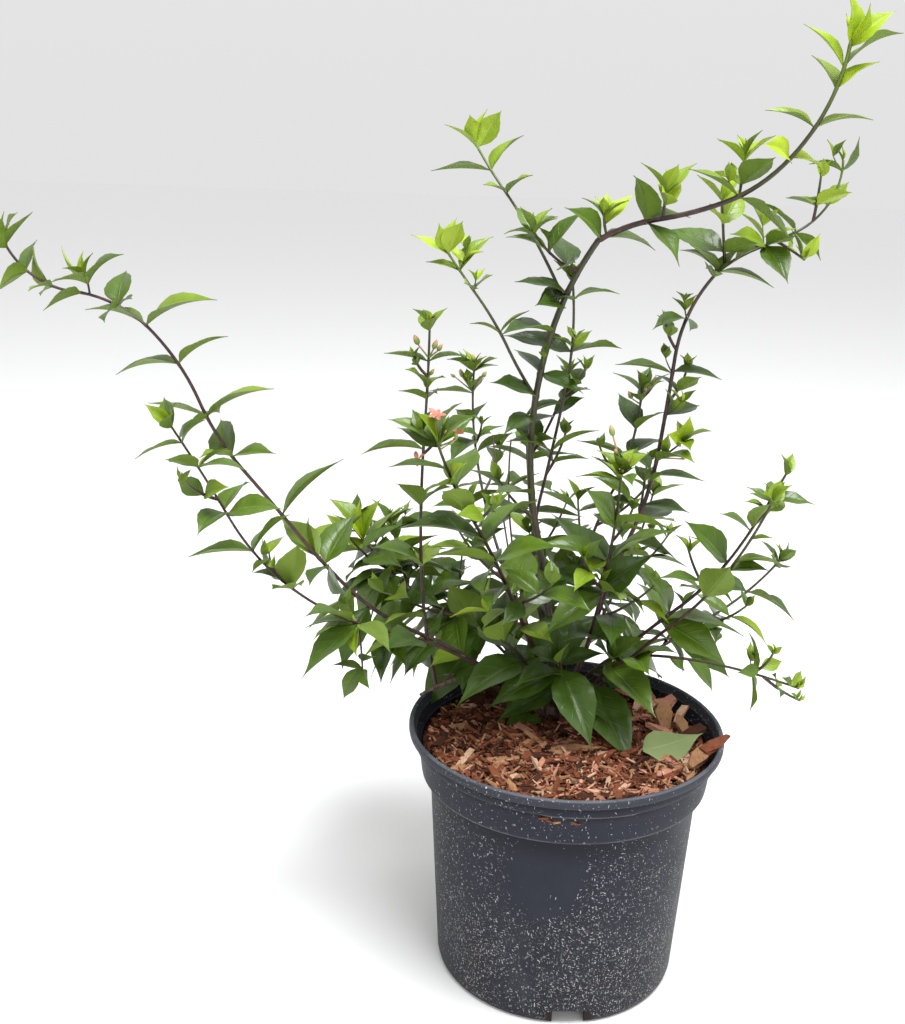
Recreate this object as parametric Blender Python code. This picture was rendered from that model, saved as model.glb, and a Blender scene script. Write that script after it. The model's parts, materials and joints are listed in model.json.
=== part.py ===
"""A glossy abelia in a round nursery pot: pot, bark mulch, root crown, bare canes and leafy shoots."""

import math
import random
from collections import namedtuple

import bmesh
import bpy
from mathutils import Matrix, Vector
from mathutils.bvhtree import BVHTree

MM = 0.001
UP = Vector((0.0, 0.0, 1.0))
CLEARANCE = 0.3 * MM
SEED = 11

# Pot: a 3 litre container with a stepped collar, a rolled lip and a drainage channel under its floor
POT_SEGMENTS = 36
POT_WALL = 1.6 * MM
POT_HEIGHT = 159.2 * MM
LIP_RADIUS = 95.0 * MM
BODY_FOOT_RADIUS = 74.2 * MM
BODY_TOP_RADIUS = 81.5 * MM
BODY_TOP = 126.5 * MM
COLLAR_FOOT_RADIUS = 86.8 * MM
COLLAR_TOP_RADIUS = 89.0 * MM
COLLAR_TOP = 147.0 * MM
BAND_RADIUS = 92.0 * MM
BAND_TOP = 153.6 * MM
CHANNEL_INNER = 48.0 * MM
CHANNEL_OUTER = 69.6 * MM
CHANNEL_HEIGHT = 8.0 * MM
NOTCHES = 3
NOTCH_AZIMUTH = 279.0
NOTCH_PLACE = 72.0 * MM
NOTCH_SIZE = (14.0 * MM, 21.0 * MM, 16.0 * MM)

# Bark mulch: a gently mounded surface, lower at the back, with its largest chips lying on it
MULCH_HEIGHT = 146.0 * MM
MULCH_MOUND = 3.5 * MM
MULCH_FALL = 3.0 * MM
MULCH_BUMP = 1.3 * MM
MULCH_RINGS = 4
CHIPS = 10
CHIP_ZONE = (24.0 * MM, 70.0 * MM)
CHIP_LENGTH = (14.0 * MM, 30.0 * MM)
CHIP_WIDTH = (6.0 * MM, 12.0 * MM)
CHIP_THICKNESS = (2.4 * MM, 3.6 * MM)
CHIP_TILT = 0.3
CROWN_ROOM = 30.0 * MM

# Root crown: the woody knuckle that every cane springs from
CROWN_PLACE = Vector((-6.0, 30.0, 0.0)) * MM
CROWN_RADIUS = 9.5 * MM
CROWN_FOOT = 148.95 * MM
CROWN_TALL = 12.0 * MM
CROWN_SIDES = 14

# A seat on the crown: its azimuth, its distance from the crown's axis and its height
Seat = namedtuple("Seat", "azimuth out height")
LOW_SEAT = (10.0 * MM, 151.0 * MM)
HIGH_SEAT = (5.5 * MM, 157.0 * MM)


def low_seat(azimuth):
    return Seat(azimuth, *LOW_SEAT)


def high_seat(azimuth):
    return Seat(azimuth, *HIGH_SEAT)


# Leaf blade proportions as shares of its length, and its root's share of the stem's radius
LEAF_WIDTH = 0.5
LEAF_THICKNESS = 0.014
LEAF_WIDEST = 0.36
LEAF_FOLD = 0.07
LEAF_ARCH = 0.035
LEAF_ROOT = 0.1

# Radii of a side twig at foot and tip, lengths of the rings' steps, and how many sides each stem has
TWIG_TAPER = (1.0 * MM, 0.65 * MM)
STEP = 17.0 * MM
TWIG_STEP = 24.0 * MM
CANE_SIDES = 5
SHOOT_SIDES = 3
TWIG_SIDES = 3
FORK_REACH = 25.0 * MM

# Pairs of leaves along a stem: the first pair's distance from the foot, the gaps between pairs and
# the leaf lengths at both ends in mm, the pairs' turn from the stem's own plane and how far
# neighbouring pairs turn to either side of it and how far their leaves lift, in degrees
Pairs = namedtuple("Pairs", "first gaps sizes turn spread lift", defaults=(12.0,))

# A side shoot: where it leaves its stem in mm, its turn from the stem's heading, its length in mm,
# its leans from upright at equal steps and the length of its first leaves in mm
Side = namedtuple("Side", "at turn length leans size")

# A single large leaf: where it leaves its stem in mm, its heading and lift in degrees, its length in mm
Blade = namedtuple("Blade", "at heading lift length")

# A stem: the way it heads over the ground, its length, its leans from upright at equal steps, its
# thickness at foot and tip in mm, and the solids it is cut into with the share where each ends
Stem = namedtuple("Stem", "heading length leans thick solids root pairs sides blades", defaults=(None, (), ()))

STEMS = {
    # Arching canes on the left
    "left_arch": Stem(
        heading=188, length=437, leans=(47, 56, 67, 45, 38, 40, 22, 43, 84, 23), thick=(3.4, 1.8),
        solids=(("left_arch_cane", 0.31), ("left_arch_shoot", 0.7), ("left_arch_tip", 1.0)),
        pairs=Pairs(first=152, gaps=(33, 19), sizes=(44, 26), turn=0, spread=26),
        sides=(
            Side(at=262, turn=150, length=34, leans=(50, 20), size=20),
            Side(at=330, turn=20, length=30, leans=(60, 30), size=20),
            Side(at=392, turn=170, length=28, leans=(40, 10), size=20),
        ),
        root=low_seat(186),
    ),
    "left_low": Stem(
        heading=207, length=313, leans=(46, 53, 72, 50, 27, 31), thick=(2.8, 1.5),
        solids=(("left_low_cane", 0.34), ("left_low_shoot", 1.0)),
        pairs=Pairs(first=122, gaps=(30, 24), sizes=(38, 24), turn=0, spread=30),
        sides=(
            Side(at=140, turn=30, length=34, leans=(100, 80), size=26),
            Side(at=196, turn=170, length=30, leans=(60, 30), size=22),
            Side(at=262, turn=20, length=26, leans=(70, 40), size=18),
        ),
        root=low_seat(232),
    ),
    "left_rise": Stem(
        heading=158, length=180, leans=(29, 54, 80, 52, 46), thick=(2.8, 1.6),
        solids=(("left_rise_cane", 0.3), ("left_rise_shoot", 1.0)),
        pairs=Pairs(first=60, gaps=(26, 20), sizes=(44, 28), turn=10, spread=45, lift=-4),
        sides=(
            Side(at=84, turn=35, length=52, leans=(80, 65, 70), size=30),
            Side(at=120, turn=-40, length=40, leans=(60, 20), size=26),
            Side(at=140, turn=60, length=46, leans=(60, 30), size=26),
        ),
        root=low_seat(160),
    ),
    "left_thin": Stem(
        heading=140, length=182, leans=(48, 58, 84, 66, 20), thick=(2.2, 1.4),
        solids=(("left_thin_cane", 0.31), ("left_thin_shoot", 1.0)),
        pairs=Pairs(first=62, gaps=(26, 20), sizes=(42, 28), turn=20, spread=45, lift=-4),
        sides=(
            Side(at=96, turn=-50, length=42, leans=(60, 30), size=24),
            Side(at=140, turn=50, length=38, leans=(60, 20), size=22),
        ),
        root=low_seat(136),
    ),
    # The riser at the rim and the canes with flower buds
    "rim_root": Stem(
        heading=190, length=74, leans=(64, 70, 94), thick=(4.0, 3.2),
        solids=(("rim_root_cane", 1.0),),
        root=low_seat(208),
    ),
    "rim_riser": Stem(
        heading=188, length=227, leans=(14, 5, 0, -3, 0), thick=(2.4, 1.4),
        solids=(("rim_riser_cane", 0.4), ("rim_riser_shoot", 1.0)),
        pairs=Pairs(first=108, gaps=(28, 20), sizes=(34, 22), turn=10, spread=45, lift=6),
        sides=(
            Side(at=150, turn=180, length=22, leans=(50, 20), size=16),
            Side(at=196, turn=0, length=16, leans=(50, 20), size=14),
        ),
        root=("rim_root", 0.96),
    ),
    "bud_cane": Stem(
        heading=118, length=252, leans=(54, 55, 47, 25, -10), thick=(2.8, 1.4),
        solids=(("bud_cane", 0.42), ("bud_shoot", 1.0)),
        pairs=Pairs(first=112, gaps=(30, 20), sizes=(42, 22), turn=30, spread=45, lift=0),
        sides=(
            Side(at=130, turn=40, length=44, leans=(60, 30), size=26),
            Side(at=160, turn=-50, length=40, leans=(60, 20), size=24),
            Side(at=196, turn=180, length=22, leans=(50, 10), size=16),
        ),
        root=high_seat(118),
    ),
    "front_cane": Stem(
        heading=232, length=220, leans=(25, 30, 30, 37, 24), thick=(2.8, 1.5),
        solids=(("front_cane", 0.3), ("front_shoot", 1.0)),
        pairs=Pairs(first=72, gaps=(28, 24), sizes=(42, 36), turn=0, spread=45, lift=0),
        sides=(
            Side(at=92, turn=80, length=42, leans=(70, 40), size=28),
            Side(at=112, turn=-60, length=40, leans=(60, 30), size=26),
            Side(at=160, turn=90, length=20, leans=(60, 30), size=18),
        ),
        root=high_seat(262),
    ),
    # The main stem with its arch, its whips and its short sprays
    "main_stem": Stem(
        heading=0, length=295, leans=(4, -9, -12, 2, 15, 33), thick=(4.8, 3.4),
        solids=(("main_stem", 1.0),),
        root=high_seat(200),
    ),
    "main_arch": Stem(
        heading=-8, length=193, leans=(58, 81, 65, 36, 18, -7), thick=(3.3, 1.8),
        solids=(("main_arch_bough", 0.56), ("main_arch_tip", 1.0)),
        pairs=Pairs(first=118, gaps=(26, 14), sizes=(32, 38), turn=0, spread=28, lift=20),
        root=("main_stem", 1.0),
    ),
    "middle_cane": Stem(
        heading=352, length=270, leans=(-15, -13, 11, 9, -8), thick=(2.6, 1.4),
        solids=(("middle_cane", 0.32), ("middle_shoot", 1.0)),
        pairs=Pairs(first=92, gaps=(32, 22), sizes=(40, 22), turn=10, spread=45, lift=0),
        sides=(
            Side(at=120, turn=180, length=36, leans=(60, 30), size=24),
            Side(at=150, turn=60, length=30, leans=(50, 20), size=22),
            Side(at=200, turn=0, length=22, leans=(50, 20), size=18),
        ),
        root=high_seat(85),
    ),
    "high_whip": Stem(
        heading=150, length=121, leans=(31, 37, 46, 31), thick=(2.0, 1.3),
        solids=(("high_whip_shoot", 1.0),),
        pairs=Pairs(first=14, gaps=(28, 22), sizes=(28, 28), turn=20, spread=35),
        root=("main_stem", 0.87),
    ),
    "low_whip": Stem(
        heading=190, length=113, leans=(36, 26, 40, 32), thick=(2.0, 1.3),
        solids=(("low_whip_shoot", 1.0),),
        pairs=Pairs(first=16, gaps=(30, 22), sizes=(30, 26), turn=0, spread=40),
        root=("main_stem", 0.67),
    ),
    "main_left": Stem(
        heading=205, length=40, leans=(70, 50, 30), thick=(1.8, 1.3),
        solids=(("main_left_spray", 1.0),),
        pairs=Pairs(first=8, gaps=(18, 14), sizes=(30, 24), turn=20, spread=45),
        root=("main_stem", 0.93),
    ),
    "main_back": Stem(
        heading=60, length=62, leans=(60, 40, 30), thick=(1.8, 1.3),
        solids=(("main_back_spray", 1.0),),
        pairs=Pairs(first=12, gaps=(22, 18), sizes=(34, 26), turn=20, spread=45),
        root=("main_stem", 0.55),
    ),
    "arch_near": Stem(
        heading=170, length=24, leans=(20, 0), thick=(1.7, 1.2),
        solids=(("arch_near_spray", 1.0),),
        pairs=Pairs(first=6, gaps=(11, 8), sizes=(22, 16), turn=0, spread=45),
        root=("main_arch", 0.05),
    ),
    "arch_middle": Stem(
        heading=20, length=34, leans=(10, 0, 10), thick=(1.7, 1.2),
        solids=(("arch_middle_spray", 1.0),),
        pairs=Pairs(first=7, gaps=(12, 9), sizes=(30, 20), turn=10, spread=45),
        root=("main_arch", 0.27),
    ),
    "arch_back": Stem(
        heading=80, length=44, leans=(60, 30, 10), thick=(1.7, 1.2),
        solids=(("arch_back_spray", 1.0),),
        pairs=Pairs(first=9, gaps=(14, 10), sizes=(26, 18), turn=0, spread=45),
        root=("main_arch", 0.42),
    ),
    # Canes on the right
    "right_cane": Stem(
        heading=22, length=284, leans=(20, 15, 24, 7, 5, 45), thick=(3.2, 2.0),
        solids=(("right_cane", 0.34), ("right_shoot", 1.0)),
        pairs=Pairs(first=104, gaps=(34, 26), sizes=(38, 30), turn=0, spread=32),
        sides=(
            Side(at=128, turn=60, length=40, leans=(60, 30), size=26),
            Side(at=168, turn=-100, length=34, leans=(50, 15), size=24),
            Side(at=200, turn=10, length=26, leans=(50, 10), size=20),
            Side(at=232, turn=170, length=20, leans=(40, 10), size=16),
        ),
        root=high_seat(15),
    ),
    "right_fork": Stem(
        heading=22, length=106, leans=(52, 70, 67, 35, -6), thick=(1.9, 1.3),
        solids=(("right_fork_shoot", 1.0),),
        pairs=Pairs(first=14, gaps=(20, 14), sizes=(28, 20), turn=0, spread=40),
        sides=(
            Side(at=5, turn=38, length=63, leans=(-21, -16, -17), size=22),
            Side(at=66, turn=10, length=28, leans=(10, 0), size=18),
            Side(at=40, turn=-60, length=22, leans=(110, 120), size=22),
        ),
        root=("right_cane", 1.0),
    ),
    "near_right": Stem(
        heading=305, length=177, leans=(30, 19, 11, 2), thick=(2.6, 1.4),
        solids=(("near_right_cane", 0.28), ("near_right_shoot", 1.0)),
        pairs=Pairs(first=54, gaps=(28, 20), sizes=(44, 24), turn=30, spread=45, lift=-4),
        sides=(
            Side(at=76, turn=60, length=44, leans=(70, 40), size=28),
            Side(at=98, turn=-60, length=40, leans=(60, 30), size=26),
            Side(at=130, turn=90, length=24, leans=(50, 20), size=18),
        ),
        root=high_seat(300),
    ),
    "back_right": Stem(
        heading=48, length=209, leans=(-1, 11, 38, -1), thick=(2.6, 1.4),
        solids=(("back_right_cane", 0.27), ("back_right_shoot", 1.0)),
        pairs=Pairs(first=62, gaps=(30, 22), sizes=(44, 24), turn=20, spread=45, lift=0),
        sides=(
            Side(at=92, turn=50, length=52, leans=(70, 40), size=28),
            Side(at=116, turn=-50, length=46, leans=(60, 30), size=26),
            Side(at=150, turn=150, length=26, leans=(50, 20), size=18),
        ),
        root=high_seat(50),
    ),
    "low_right": Stem(
        heading=345, length=210, leans=(18, 42, 45, 28, 22), thick=(2.6, 1.4),
        solids=(("low_right_cane", 0.32), ("low_right_shoot", 1.0)),
        pairs=Pairs(first=72, gaps=(26, 20), sizes=(42, 24), turn=0, spread=40, lift=-4),
        sides=(
            Side(at=96, turn=50, length=50, leans=(80, 60), size=30),
            Side(at=130, turn=150, length=30, leans=(60, 30), size=24),
            Side(at=176, turn=-20, length=22, leans=(40, 10), size=18),
        ),
        root=low_seat(350),
    ),
    "low_right_twin": Stem(
        heading=335, length=200, leans=(37, 38, 44, 30, 20), thick=(2.4, 1.4),
        solids=(("low_right_twin_cane", 0.33), ("low_right_twin_shoot", 1.0)),
        pairs=Pairs(first=72, gaps=(28, 20), sizes=(40, 24), turn=0, spread=40, lift=-6),
        sides=(
            Side(at=94, turn=-60, length=42, leans=(90, 80), size=30),
        ),
        root=low_seat(328),
    ),
    "far_right": Stem(
        heading=325, length=179, leans=(31, 37, 76, 85, 92), thick=(2.2, 1.3),
        solids=(("far_right_cane", 0.42), ("far_right_shoot", 1.0)),
        pairs=Pairs(first=82, gaps=(44, 18), sizes=(40, 16), turn=0, spread=35, lift=-6),
        sides=(
            Side(at=150, turn=-20, length=26, leans=(60, 20), size=14),
            Side(at=158, turn=30, length=24, leans=(130, 110), size=12),
        ),
        root=low_seat(306),
    ),
    # Low sprays round the foot
    "low_front": Stem(
        heading=270, length=54, leans=(14, 24, 34), thick=(2.8, 2.0),
        solids=(("low_front_spray", 1.0),),
        pairs=Pairs(first=30, gaps=(13, 13), sizes=(34, 30), turn=20, spread=45, lift=-6),
        blades=(
            Blade(at=45, heading=300, lift=-38, length=54),
            Blade(at=45, heading=204, lift=-24, length=50),
        ),
        root=low_seat(276),
    ),
    "low_left": Stem(
        heading=226, length=74, leans=(25, 40, 50), thick=(2.4, 1.6),
        solids=(("low_left_spray", 1.0),),
        pairs=Pairs(first=30, gaps=(17, 15), sizes=(46, 40), turn=40, spread=45, lift=-12),
        root=high_seat(232),
    ),
    "low_back": Stem(
        heading=92, length=86, leans=(10, 25, 35), thick=(2.4, 1.6),
        solids=(("low_back_spray", 1.0),),
        pairs=Pairs(first=32, gaps=(19, 17), sizes=(46, 38), turn=0, spread=45, lift=-8),
        root=low_seat(89),
    ),
    "low_near": Stem(
        heading=318, length=60, leans=(25, 40, 50), thick=(2.6, 1.8),
        solids=(("low_near_spray", 1.0),),
        pairs=Pairs(first=38, gaps=(14, 14), sizes=(40, 34), turn=20, spread=45, lift=-10),
        blades=(
            Blade(at=26, heading=308, lift=-34, length=64),
            Blade(at=36, heading=352, lift=-20, length=44),
        ),
        root=high_seat(338),
    ),
    # Bare dead twigs
    "dead_left": Stem(
        heading=125, length=181, leans=(45, 24, 16), thick=(1.6, 1.0),
        solids=(("dead_twig_left", 1.0),),
        root=low_seat(121),
    ),
    "dead_right": Stem(
        heading=150, length=170, leans=(25, 15, -4), thick=(1.6, 1.0),
        solids=(("dead_twig_right", 1.0),),
        root=high_seat(150),
    ),
    # Low canes at the back
    "back_left": Stem(
        heading=104, length=190, leans=(40, 50, 40, 20), thick=(2.6, 1.4),
        solids=(("back_left_cane", 0.26), ("back_left_shoot", 1.0)),
        pairs=Pairs(first=54, gaps=(30, 22), sizes=(44, 26), turn=10, spread=45, lift=-2),
        sides=(
            Side(at=80, turn=50, length=54, leans=(80, 60), size=28),
            Side(at=106, turn=-50, length=48, leans=(60, 30), size=26),
        ),
        root=low_seat(106),
    ),
    "back_low": Stem(
        heading=66, length=178, leans=(45, 60, 55, 30), thick=(2.6, 1.4),
        solids=(("back_low_cane", 0.26), ("back_low_shoot", 1.0)),
        pairs=Pairs(first=52, gaps=(30, 22), sizes=(44, 26), turn=10, spread=45, lift=-2),
        sides=(
            Side(at=76, turn=50, length=52, leans=(80, 60), size=28),
            Side(at=104, turn=-50, length=46, leans=(60, 30), size=26),
        ),
        root=low_seat(72),
    ),
    "right_low_back": Stem(
        heading=20, length=168, leans=(48, 62, 60, 40), thick=(2.6, 1.4),
        solids=(("right_back_cane", 0.28), ("right_back_shoot", 1.0)),
        pairs=Pairs(first=52, gaps=(30, 22), sizes=(42, 26), turn=10, spread=45, lift=-2),
        sides=(
            Side(at=72, turn=50, length=46, leans=(80, 60), size=28),
            Side(at=96, turn=-50, length=42, leans=(70, 40), size=26),
        ),
        root=low_seat(26),
    ),
}

# Base colours
POT_COLOUR = (0.045, 0.05, 0.06)
MULCH_COLOUR = (0.25, 0.12, 0.07)
CROWN_COLOUR = (0.12, 0.075, 0.05)
WOOD_COLOUR = (0.16, 0.075, 0.05)
LEAF_COLOUR = (0.05, 0.13, 0.03)

# Leaf habit, angles in degrees: fewer and larger leaves than in life
LEAF_OUTWARD_DROOP = 14.0
LEAF_LIFT_SPREAD = 16.0
YOUNG_LIFT = 30.0
LEAF_TURN_SPREAD = 14.0
LOW_DROOP = 30.0
LOW_GROWTH = 0.16
LOW_ZONE = (215.0 * MM, 330.0 * MM)
FACE_ALONG = 0.35
FACE_OUTWARD = 0.5
FACE_LIGHT = 0.42
CROWN_SPREAD = 120.0 * MM
LIGHT = Vector((0.1, -1.0, 0.0))
LEAF_ROLL_SPREAD = 26.0
RETRY_TURN = 32.0
RETRY_LIFT = 20.0
TRIES = 12
YOUNG_REACH = 34.0 * MM

# Young leaves at a tip, pair by pair: place in mm, share of the last pair's size, lift
CLUSTER = ((0.0, 0.8, 40.0), (3.6, 0.56, 66.0))
SIDE_CLUSTER = ((2.0, 0.8, 50.0),)
SIZE_SPREAD = 0.12

# Leaves on side twigs: the first pair's place, the gap between pairs, their size's fall and their habit
SIDE_FIRST = 11.0 * MM
SIDE_GAP = 29.0
SIDE_TURN = 50.0
SIDE_SPREAD = 45.0
SIDE_LIFT = 6.0
SIDE_SIZE_FALL = 0.82


def heading_vector(degrees):
    return Vector((math.cos(math.radians(degrees)), math.sin(math.radians(degrees)), 0.0))


def between(values, share):
    """The value at a share from 0 to 1 of a row of equally spaced values."""
    place = min(max(share, 0.0), 1.0) * (len(values) - 1)
    index = min(int(place), len(values) - 2)
    return values[index] + (values[index + 1] - values[index]) * (place - index)


class Path:
    """A stem's centre line, grown from its foot by its leans from upright."""

    def __init__(self, start, heading, length, leans):
        self.heading = heading
        self.length = length
        steps = max(3, round(length / (3.0 * MM)))
        self.step = length / steps
        self.points = [start.copy()]
        for index in range(steps):
            tangent = self.direction(heading, between(leans, (index + 0.5) / steps))
            self.points.append(self.points[-1] + tangent * self.step)

    @staticmethod
    def direction(heading, lean):
        angle = math.radians(lean)
        return heading_vector(heading) * math.sin(angle) + UP * math.cos(angle)

    def at(self, distance):
        place = min(max(distance / self.step, 0.0), len(self.points) - 1.001)
        index = int(place)
        return self.points[index].lerp(self.points[index + 1], place - index)

    def tangent(self, distance):
        ahead = self.at(distance + 2.0 * MM)
        behind = self.at(distance - 2.0 * MM)
        return (ahead - behind).normalized()


def tube(path, start, end, radius_at, sides, step=STEP):
    """A tapering closed tube along part of a path: its vertices and faces."""
    count = max(1, round((end - start) / step))
    vertices, faces = [], []
    side = path.tangent(start).orthogonal().normalized()
    for ring in range(count + 1):
        distance = start + (end - start) * ring / count
        centre, tangent = path.at(distance), path.tangent(distance)
        side = (side - tangent * side.dot(tangent)).normalized()
        other = tangent.cross(side)
        radius = radius_at(distance)
        for corner in range(sides):
            angle = 2 * math.pi * corner / sides
            vertices.append(centre + (side * math.cos(angle) + other * math.sin(angle)) * radius)
    for ring in range(count):
        for corner in range(sides):
            a, b = ring * sides + corner, ring * sides + (corner + 1) % sides
            faces.append((a, b, b + sides, a + sides))
    faces.append(tuple(reversed(range(sides))))
    faces.append(tuple(range(count * sides, (count + 1) * sides)))
    return vertices, faces


def blade(base, direction, normal, length, grow=0.0):
    """A folded leaf of six faces: its upper side arches and its underside runs flat from root to tip."""
    across = direction.cross(normal).normalized()
    half = LEAF_WIDTH * length / 2 + grow
    thick = LEAF_THICKNESS * length + grow
    middle = base + direction * length * LEAF_WIDEST + normal * length * LEAF_ARCH
    edge = normal * LEAF_FOLD * length
    vertices = [
        base,
        base + direction * (length + grow) - normal * length * LEAF_ARCH,
        middle + across * half + edge,
        middle - across * half + edge,
        middle + normal * thick,
    ]
    faces = [(0, 4, 2), (0, 3, 4), (1, 2, 4), (1, 4, 3), (0, 2, 1), (0, 1, 3)]
    return vertices, faces


class Space:
    """What is already in place: small pieces of surface with their owners, for keeping clear."""

    def __init__(self):
        self.pieces = []

    def add(self, vertices, faces, owner):
        centre = sum(vertices, Vector()) / len(vertices)
        reach = max((v - centre).length for v in vertices)
        self.pieces.append((centre, reach, BVHTree.FromPolygons(vertices, faces), owner))

    def add_chunks(self, vertices, faces, owner, sides):
        """A long tube goes in as short lengths, so that far ones are passed over quickly."""
        for first in range(0, len(faces) - 2, 3 * sides):
            chunk = faces[first : first + 3 * sides]
            used = sorted({index for face in chunk for index in face})
            place = {index: new for new, index in enumerate(used)}
            renamed = [tuple(place[index] for index in face) for face in chunk]
            self.add([vertices[index] for index in used], renamed, owner)

    def hits(self, vertices, faces, skip=(), only=None):
        centre = sum(vertices, Vector()) / len(vertices)
        reach = max((v - centre).length for v in vertices)
        tree = None
        for other_centre, other_reach, other_tree, owner in self.pieces:
            if owner in skip or (only is not None and owner != only):
                continue
            if (other_centre - centre).length > reach + other_reach:
                continue
            tree = tree or BVHTree.FromPolygons(vertices, faces)
            if tree.overlap(other_tree):
                return owner
        return None


def clear_start(path, radius, host, start=0.0):
    """How far along the path its first ring stands clear of the solid that carries it."""
    distance = start
    while distance < start + 16.0 * MM:
        centre, tangent = path.at(distance), path.tangent(distance)
        side = tangent.orthogonal().normalized()
        other = tangent.cross(side)
        gap = 1.0
        for corner in range(12):
            angle = math.pi * corner / 6
            point = centre + (side * math.cos(angle) + other * math.sin(angle)) * radius
            near, normal, _, reach = host.find_nearest(point)
            gap = min(gap, reach if (point - near).dot(normal) > 0 else -reach)
        if gap >= CLEARANCE:
            return distance
        distance += 0.1 * MM
    return distance


def mesh_object(name, vertices, faces, material, smooth=True):
    mesh = bpy.data.meshes.new(name)
    mesh.from_pydata([tuple(v) for v in vertices], [], faces)
    mesh.materials.append(material)
    if smooth:
        mesh.shade_smooth()
        mesh.set_sharp_from_angle(angle=math.radians(40.0))
    obj = bpy.data.objects.new(name, mesh)
    bpy.context.scene.collection.objects.link(obj)
    return obj


def material(name, colour, roughness):
    made = bpy.data.materials.new(name)
    made.use_nodes = True
    shader = made.node_tree.nodes["Principled BSDF"]
    shader.inputs["Base Color"].default_value = (*colour, 1.0)
    shader.inputs["Roughness"].default_value = roughness
    shader.inputs["Metallic"].default_value = 0.0
    made.diffuse_color = (*colour, 1.0)
    return made


def turned(profile, segments):
    """A closed solid of revolution from (radius, height) points, its first and last on the axis."""
    vertices = [Vector((0.0, 0.0, profile[0][1])), Vector((0.0, 0.0, profile[-1][1]))]
    rings = profile[1:-1]
    for radius, height in rings:
        for segment in range(segments):
            angle = 2 * math.pi * segment / segments
            vertices.append(Vector((radius * math.cos(angle), radius * math.sin(angle), height)))
    faces = []
    for segment in range(segments):
        following = (segment + 1) % segments
        faces.append((0, 2 + following, 2 + segment))
        for ring in range(len(rings) - 1):
            low, high = 2 + ring * segments, 2 + (ring + 1) * segments
            faces.append((low + segment, low + following, high + following, high + segment))
        last = 2 + (len(rings) - 1) * segments
        faces.append((1, last + segment, last + following))
    return vertices, faces


def body_radius(height):
    return BODY_FOOT_RADIUS + (BODY_TOP_RADIUS - BODY_FOOT_RADIUS) * height / BODY_TOP


def inside_profile(gap):
    """The pot's inner wall from its floor up to the lip, drawn in by a gap."""
    wall = POT_WALL + gap
    return [
        (CHANNEL_INNER - POT_WALL - gap, POT_WALL + gap),
        (CHANNEL_INNER - 0.6 * MM - gap, CHANNEL_HEIGHT + POT_WALL + gap),
        (body_radius(10 * MM) - wall, CHANNEL_HEIGHT + POT_WALL + gap),
        (BODY_TOP_RADIUS - wall, BODY_TOP + POT_WALL + gap),
        (COLLAR_FOOT_RADIUS - wall, BODY_TOP + 3.6 * MM + gap),
        (COLLAR_TOP_RADIUS - wall, COLLAR_TOP + 1.4 * MM),
    ]


def make_pot(plastic):
    outer = [
        (0.0, 0.0),
        (CHANNEL_INNER, 0.0),
        (CHANNEL_INNER + 1.0 * MM, CHANNEL_HEIGHT),
        (CHANNEL_OUTER, CHANNEL_HEIGHT),
        (CHANNEL_OUTER, 0.0),
        (CHANNEL_OUTER + 2.0 * MM, 0.0),
        (BODY_FOOT_RADIUS, 4.5 * MM),
        (BODY_TOP_RADIUS, BODY_TOP),
        (COLLAR_FOOT_RADIUS - 0.6 * MM, BODY_TOP + 1.4 * MM),
        (COLLAR_FOOT_RADIUS, BODY_TOP + 3.0 * MM),
        (COLLAR_TOP_RADIUS, COLLAR_TOP),
        (BAND_RADIUS - 0.8 * MM, COLLAR_TOP + 0.6 * MM),
        (BAND_RADIUS, BAND_TOP),
        (LIP_RADIUS - 0.4 * MM, BAND_TOP + 0.4 * MM),
        (LIP_RADIUS, POT_HEIGHT - 1.6 * MM),
        (LIP_RADIUS - 0.9 * MM, POT_HEIGHT),
        (BAND_RADIUS + 0.5 * MM, POT_HEIGHT),
        (BAND_RADIUS - POT_WALL, BAND_TOP),
    ]
    inner = list(reversed(inside_profile(0.0))) + [(0.0, POT_WALL)]
    pot = mesh_object("pot", *turned(outer + inner, POT_SEGMENTS), plastic)
    cut_notches(pot)


def cut_notches(pot):
    """Drainage notches through the foot ring, evenly round the pot."""
    cutters = bpy.data.collections.new("drainage notches")
    bpy.context.scene.collection.children.link(cutters)
    for notch in range(NOTCHES):
        azimuth = 2 * math.pi * notch / NOTCHES + math.radians(NOTCH_AZIMUTH)
        place = Matrix.Rotation(azimuth, 4, "Z") @ Matrix.Translation((NOTCH_PLACE, 0.0, 0.0))
        bm = bmesh.new()
        bmesh.ops.create_cube(bm, size=1.0, matrix=place @ Matrix.Diagonal((*NOTCH_SIZE, 1.0)))
        mesh = bpy.data.meshes.new("drainage notch")
        bm.to_mesh(mesh)
        bm.free()
        cutter = bpy.data.objects.new("drainage notch", mesh)
        cutter.hide_render = True
        cutter.display_type = "WIRE"
        cutters.objects.link(cutter)
    cut = pot.modifiers.new("notches", "BOOLEAN")
    cut.operation = "DIFFERENCE"
    cut.operand_type = "COLLECTION"
    cut.collection = cutters
    settle(pot, cutters)


def settle(obj, used):
    """Applies an object's modifiers and removes the objects that they used."""
    graph = bpy.context.evaluated_depsgraph_get()
    mesh = bpy.data.meshes.new_from_object(obj.evaluated_get(graph), depsgraph=graph)
    obj.modifiers.clear()
    spent, obj.data = obj.data, mesh
    bpy.data.meshes.remove(spent)
    for other in list(used.objects):
        bpy.data.objects.remove(other)
    bpy.data.collections.remove(used)


def wall_radius(height):
    """How far out the mulch reaches at a height inside the collar."""
    foot, top = inside_profile(CLEARANCE)[-2:]
    share = (height - foot[1]) / (top[1] - foot[1])
    return foot[0] + (top[0] - foot[0]) * min(max(share, 0.0), 1.0)


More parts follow.
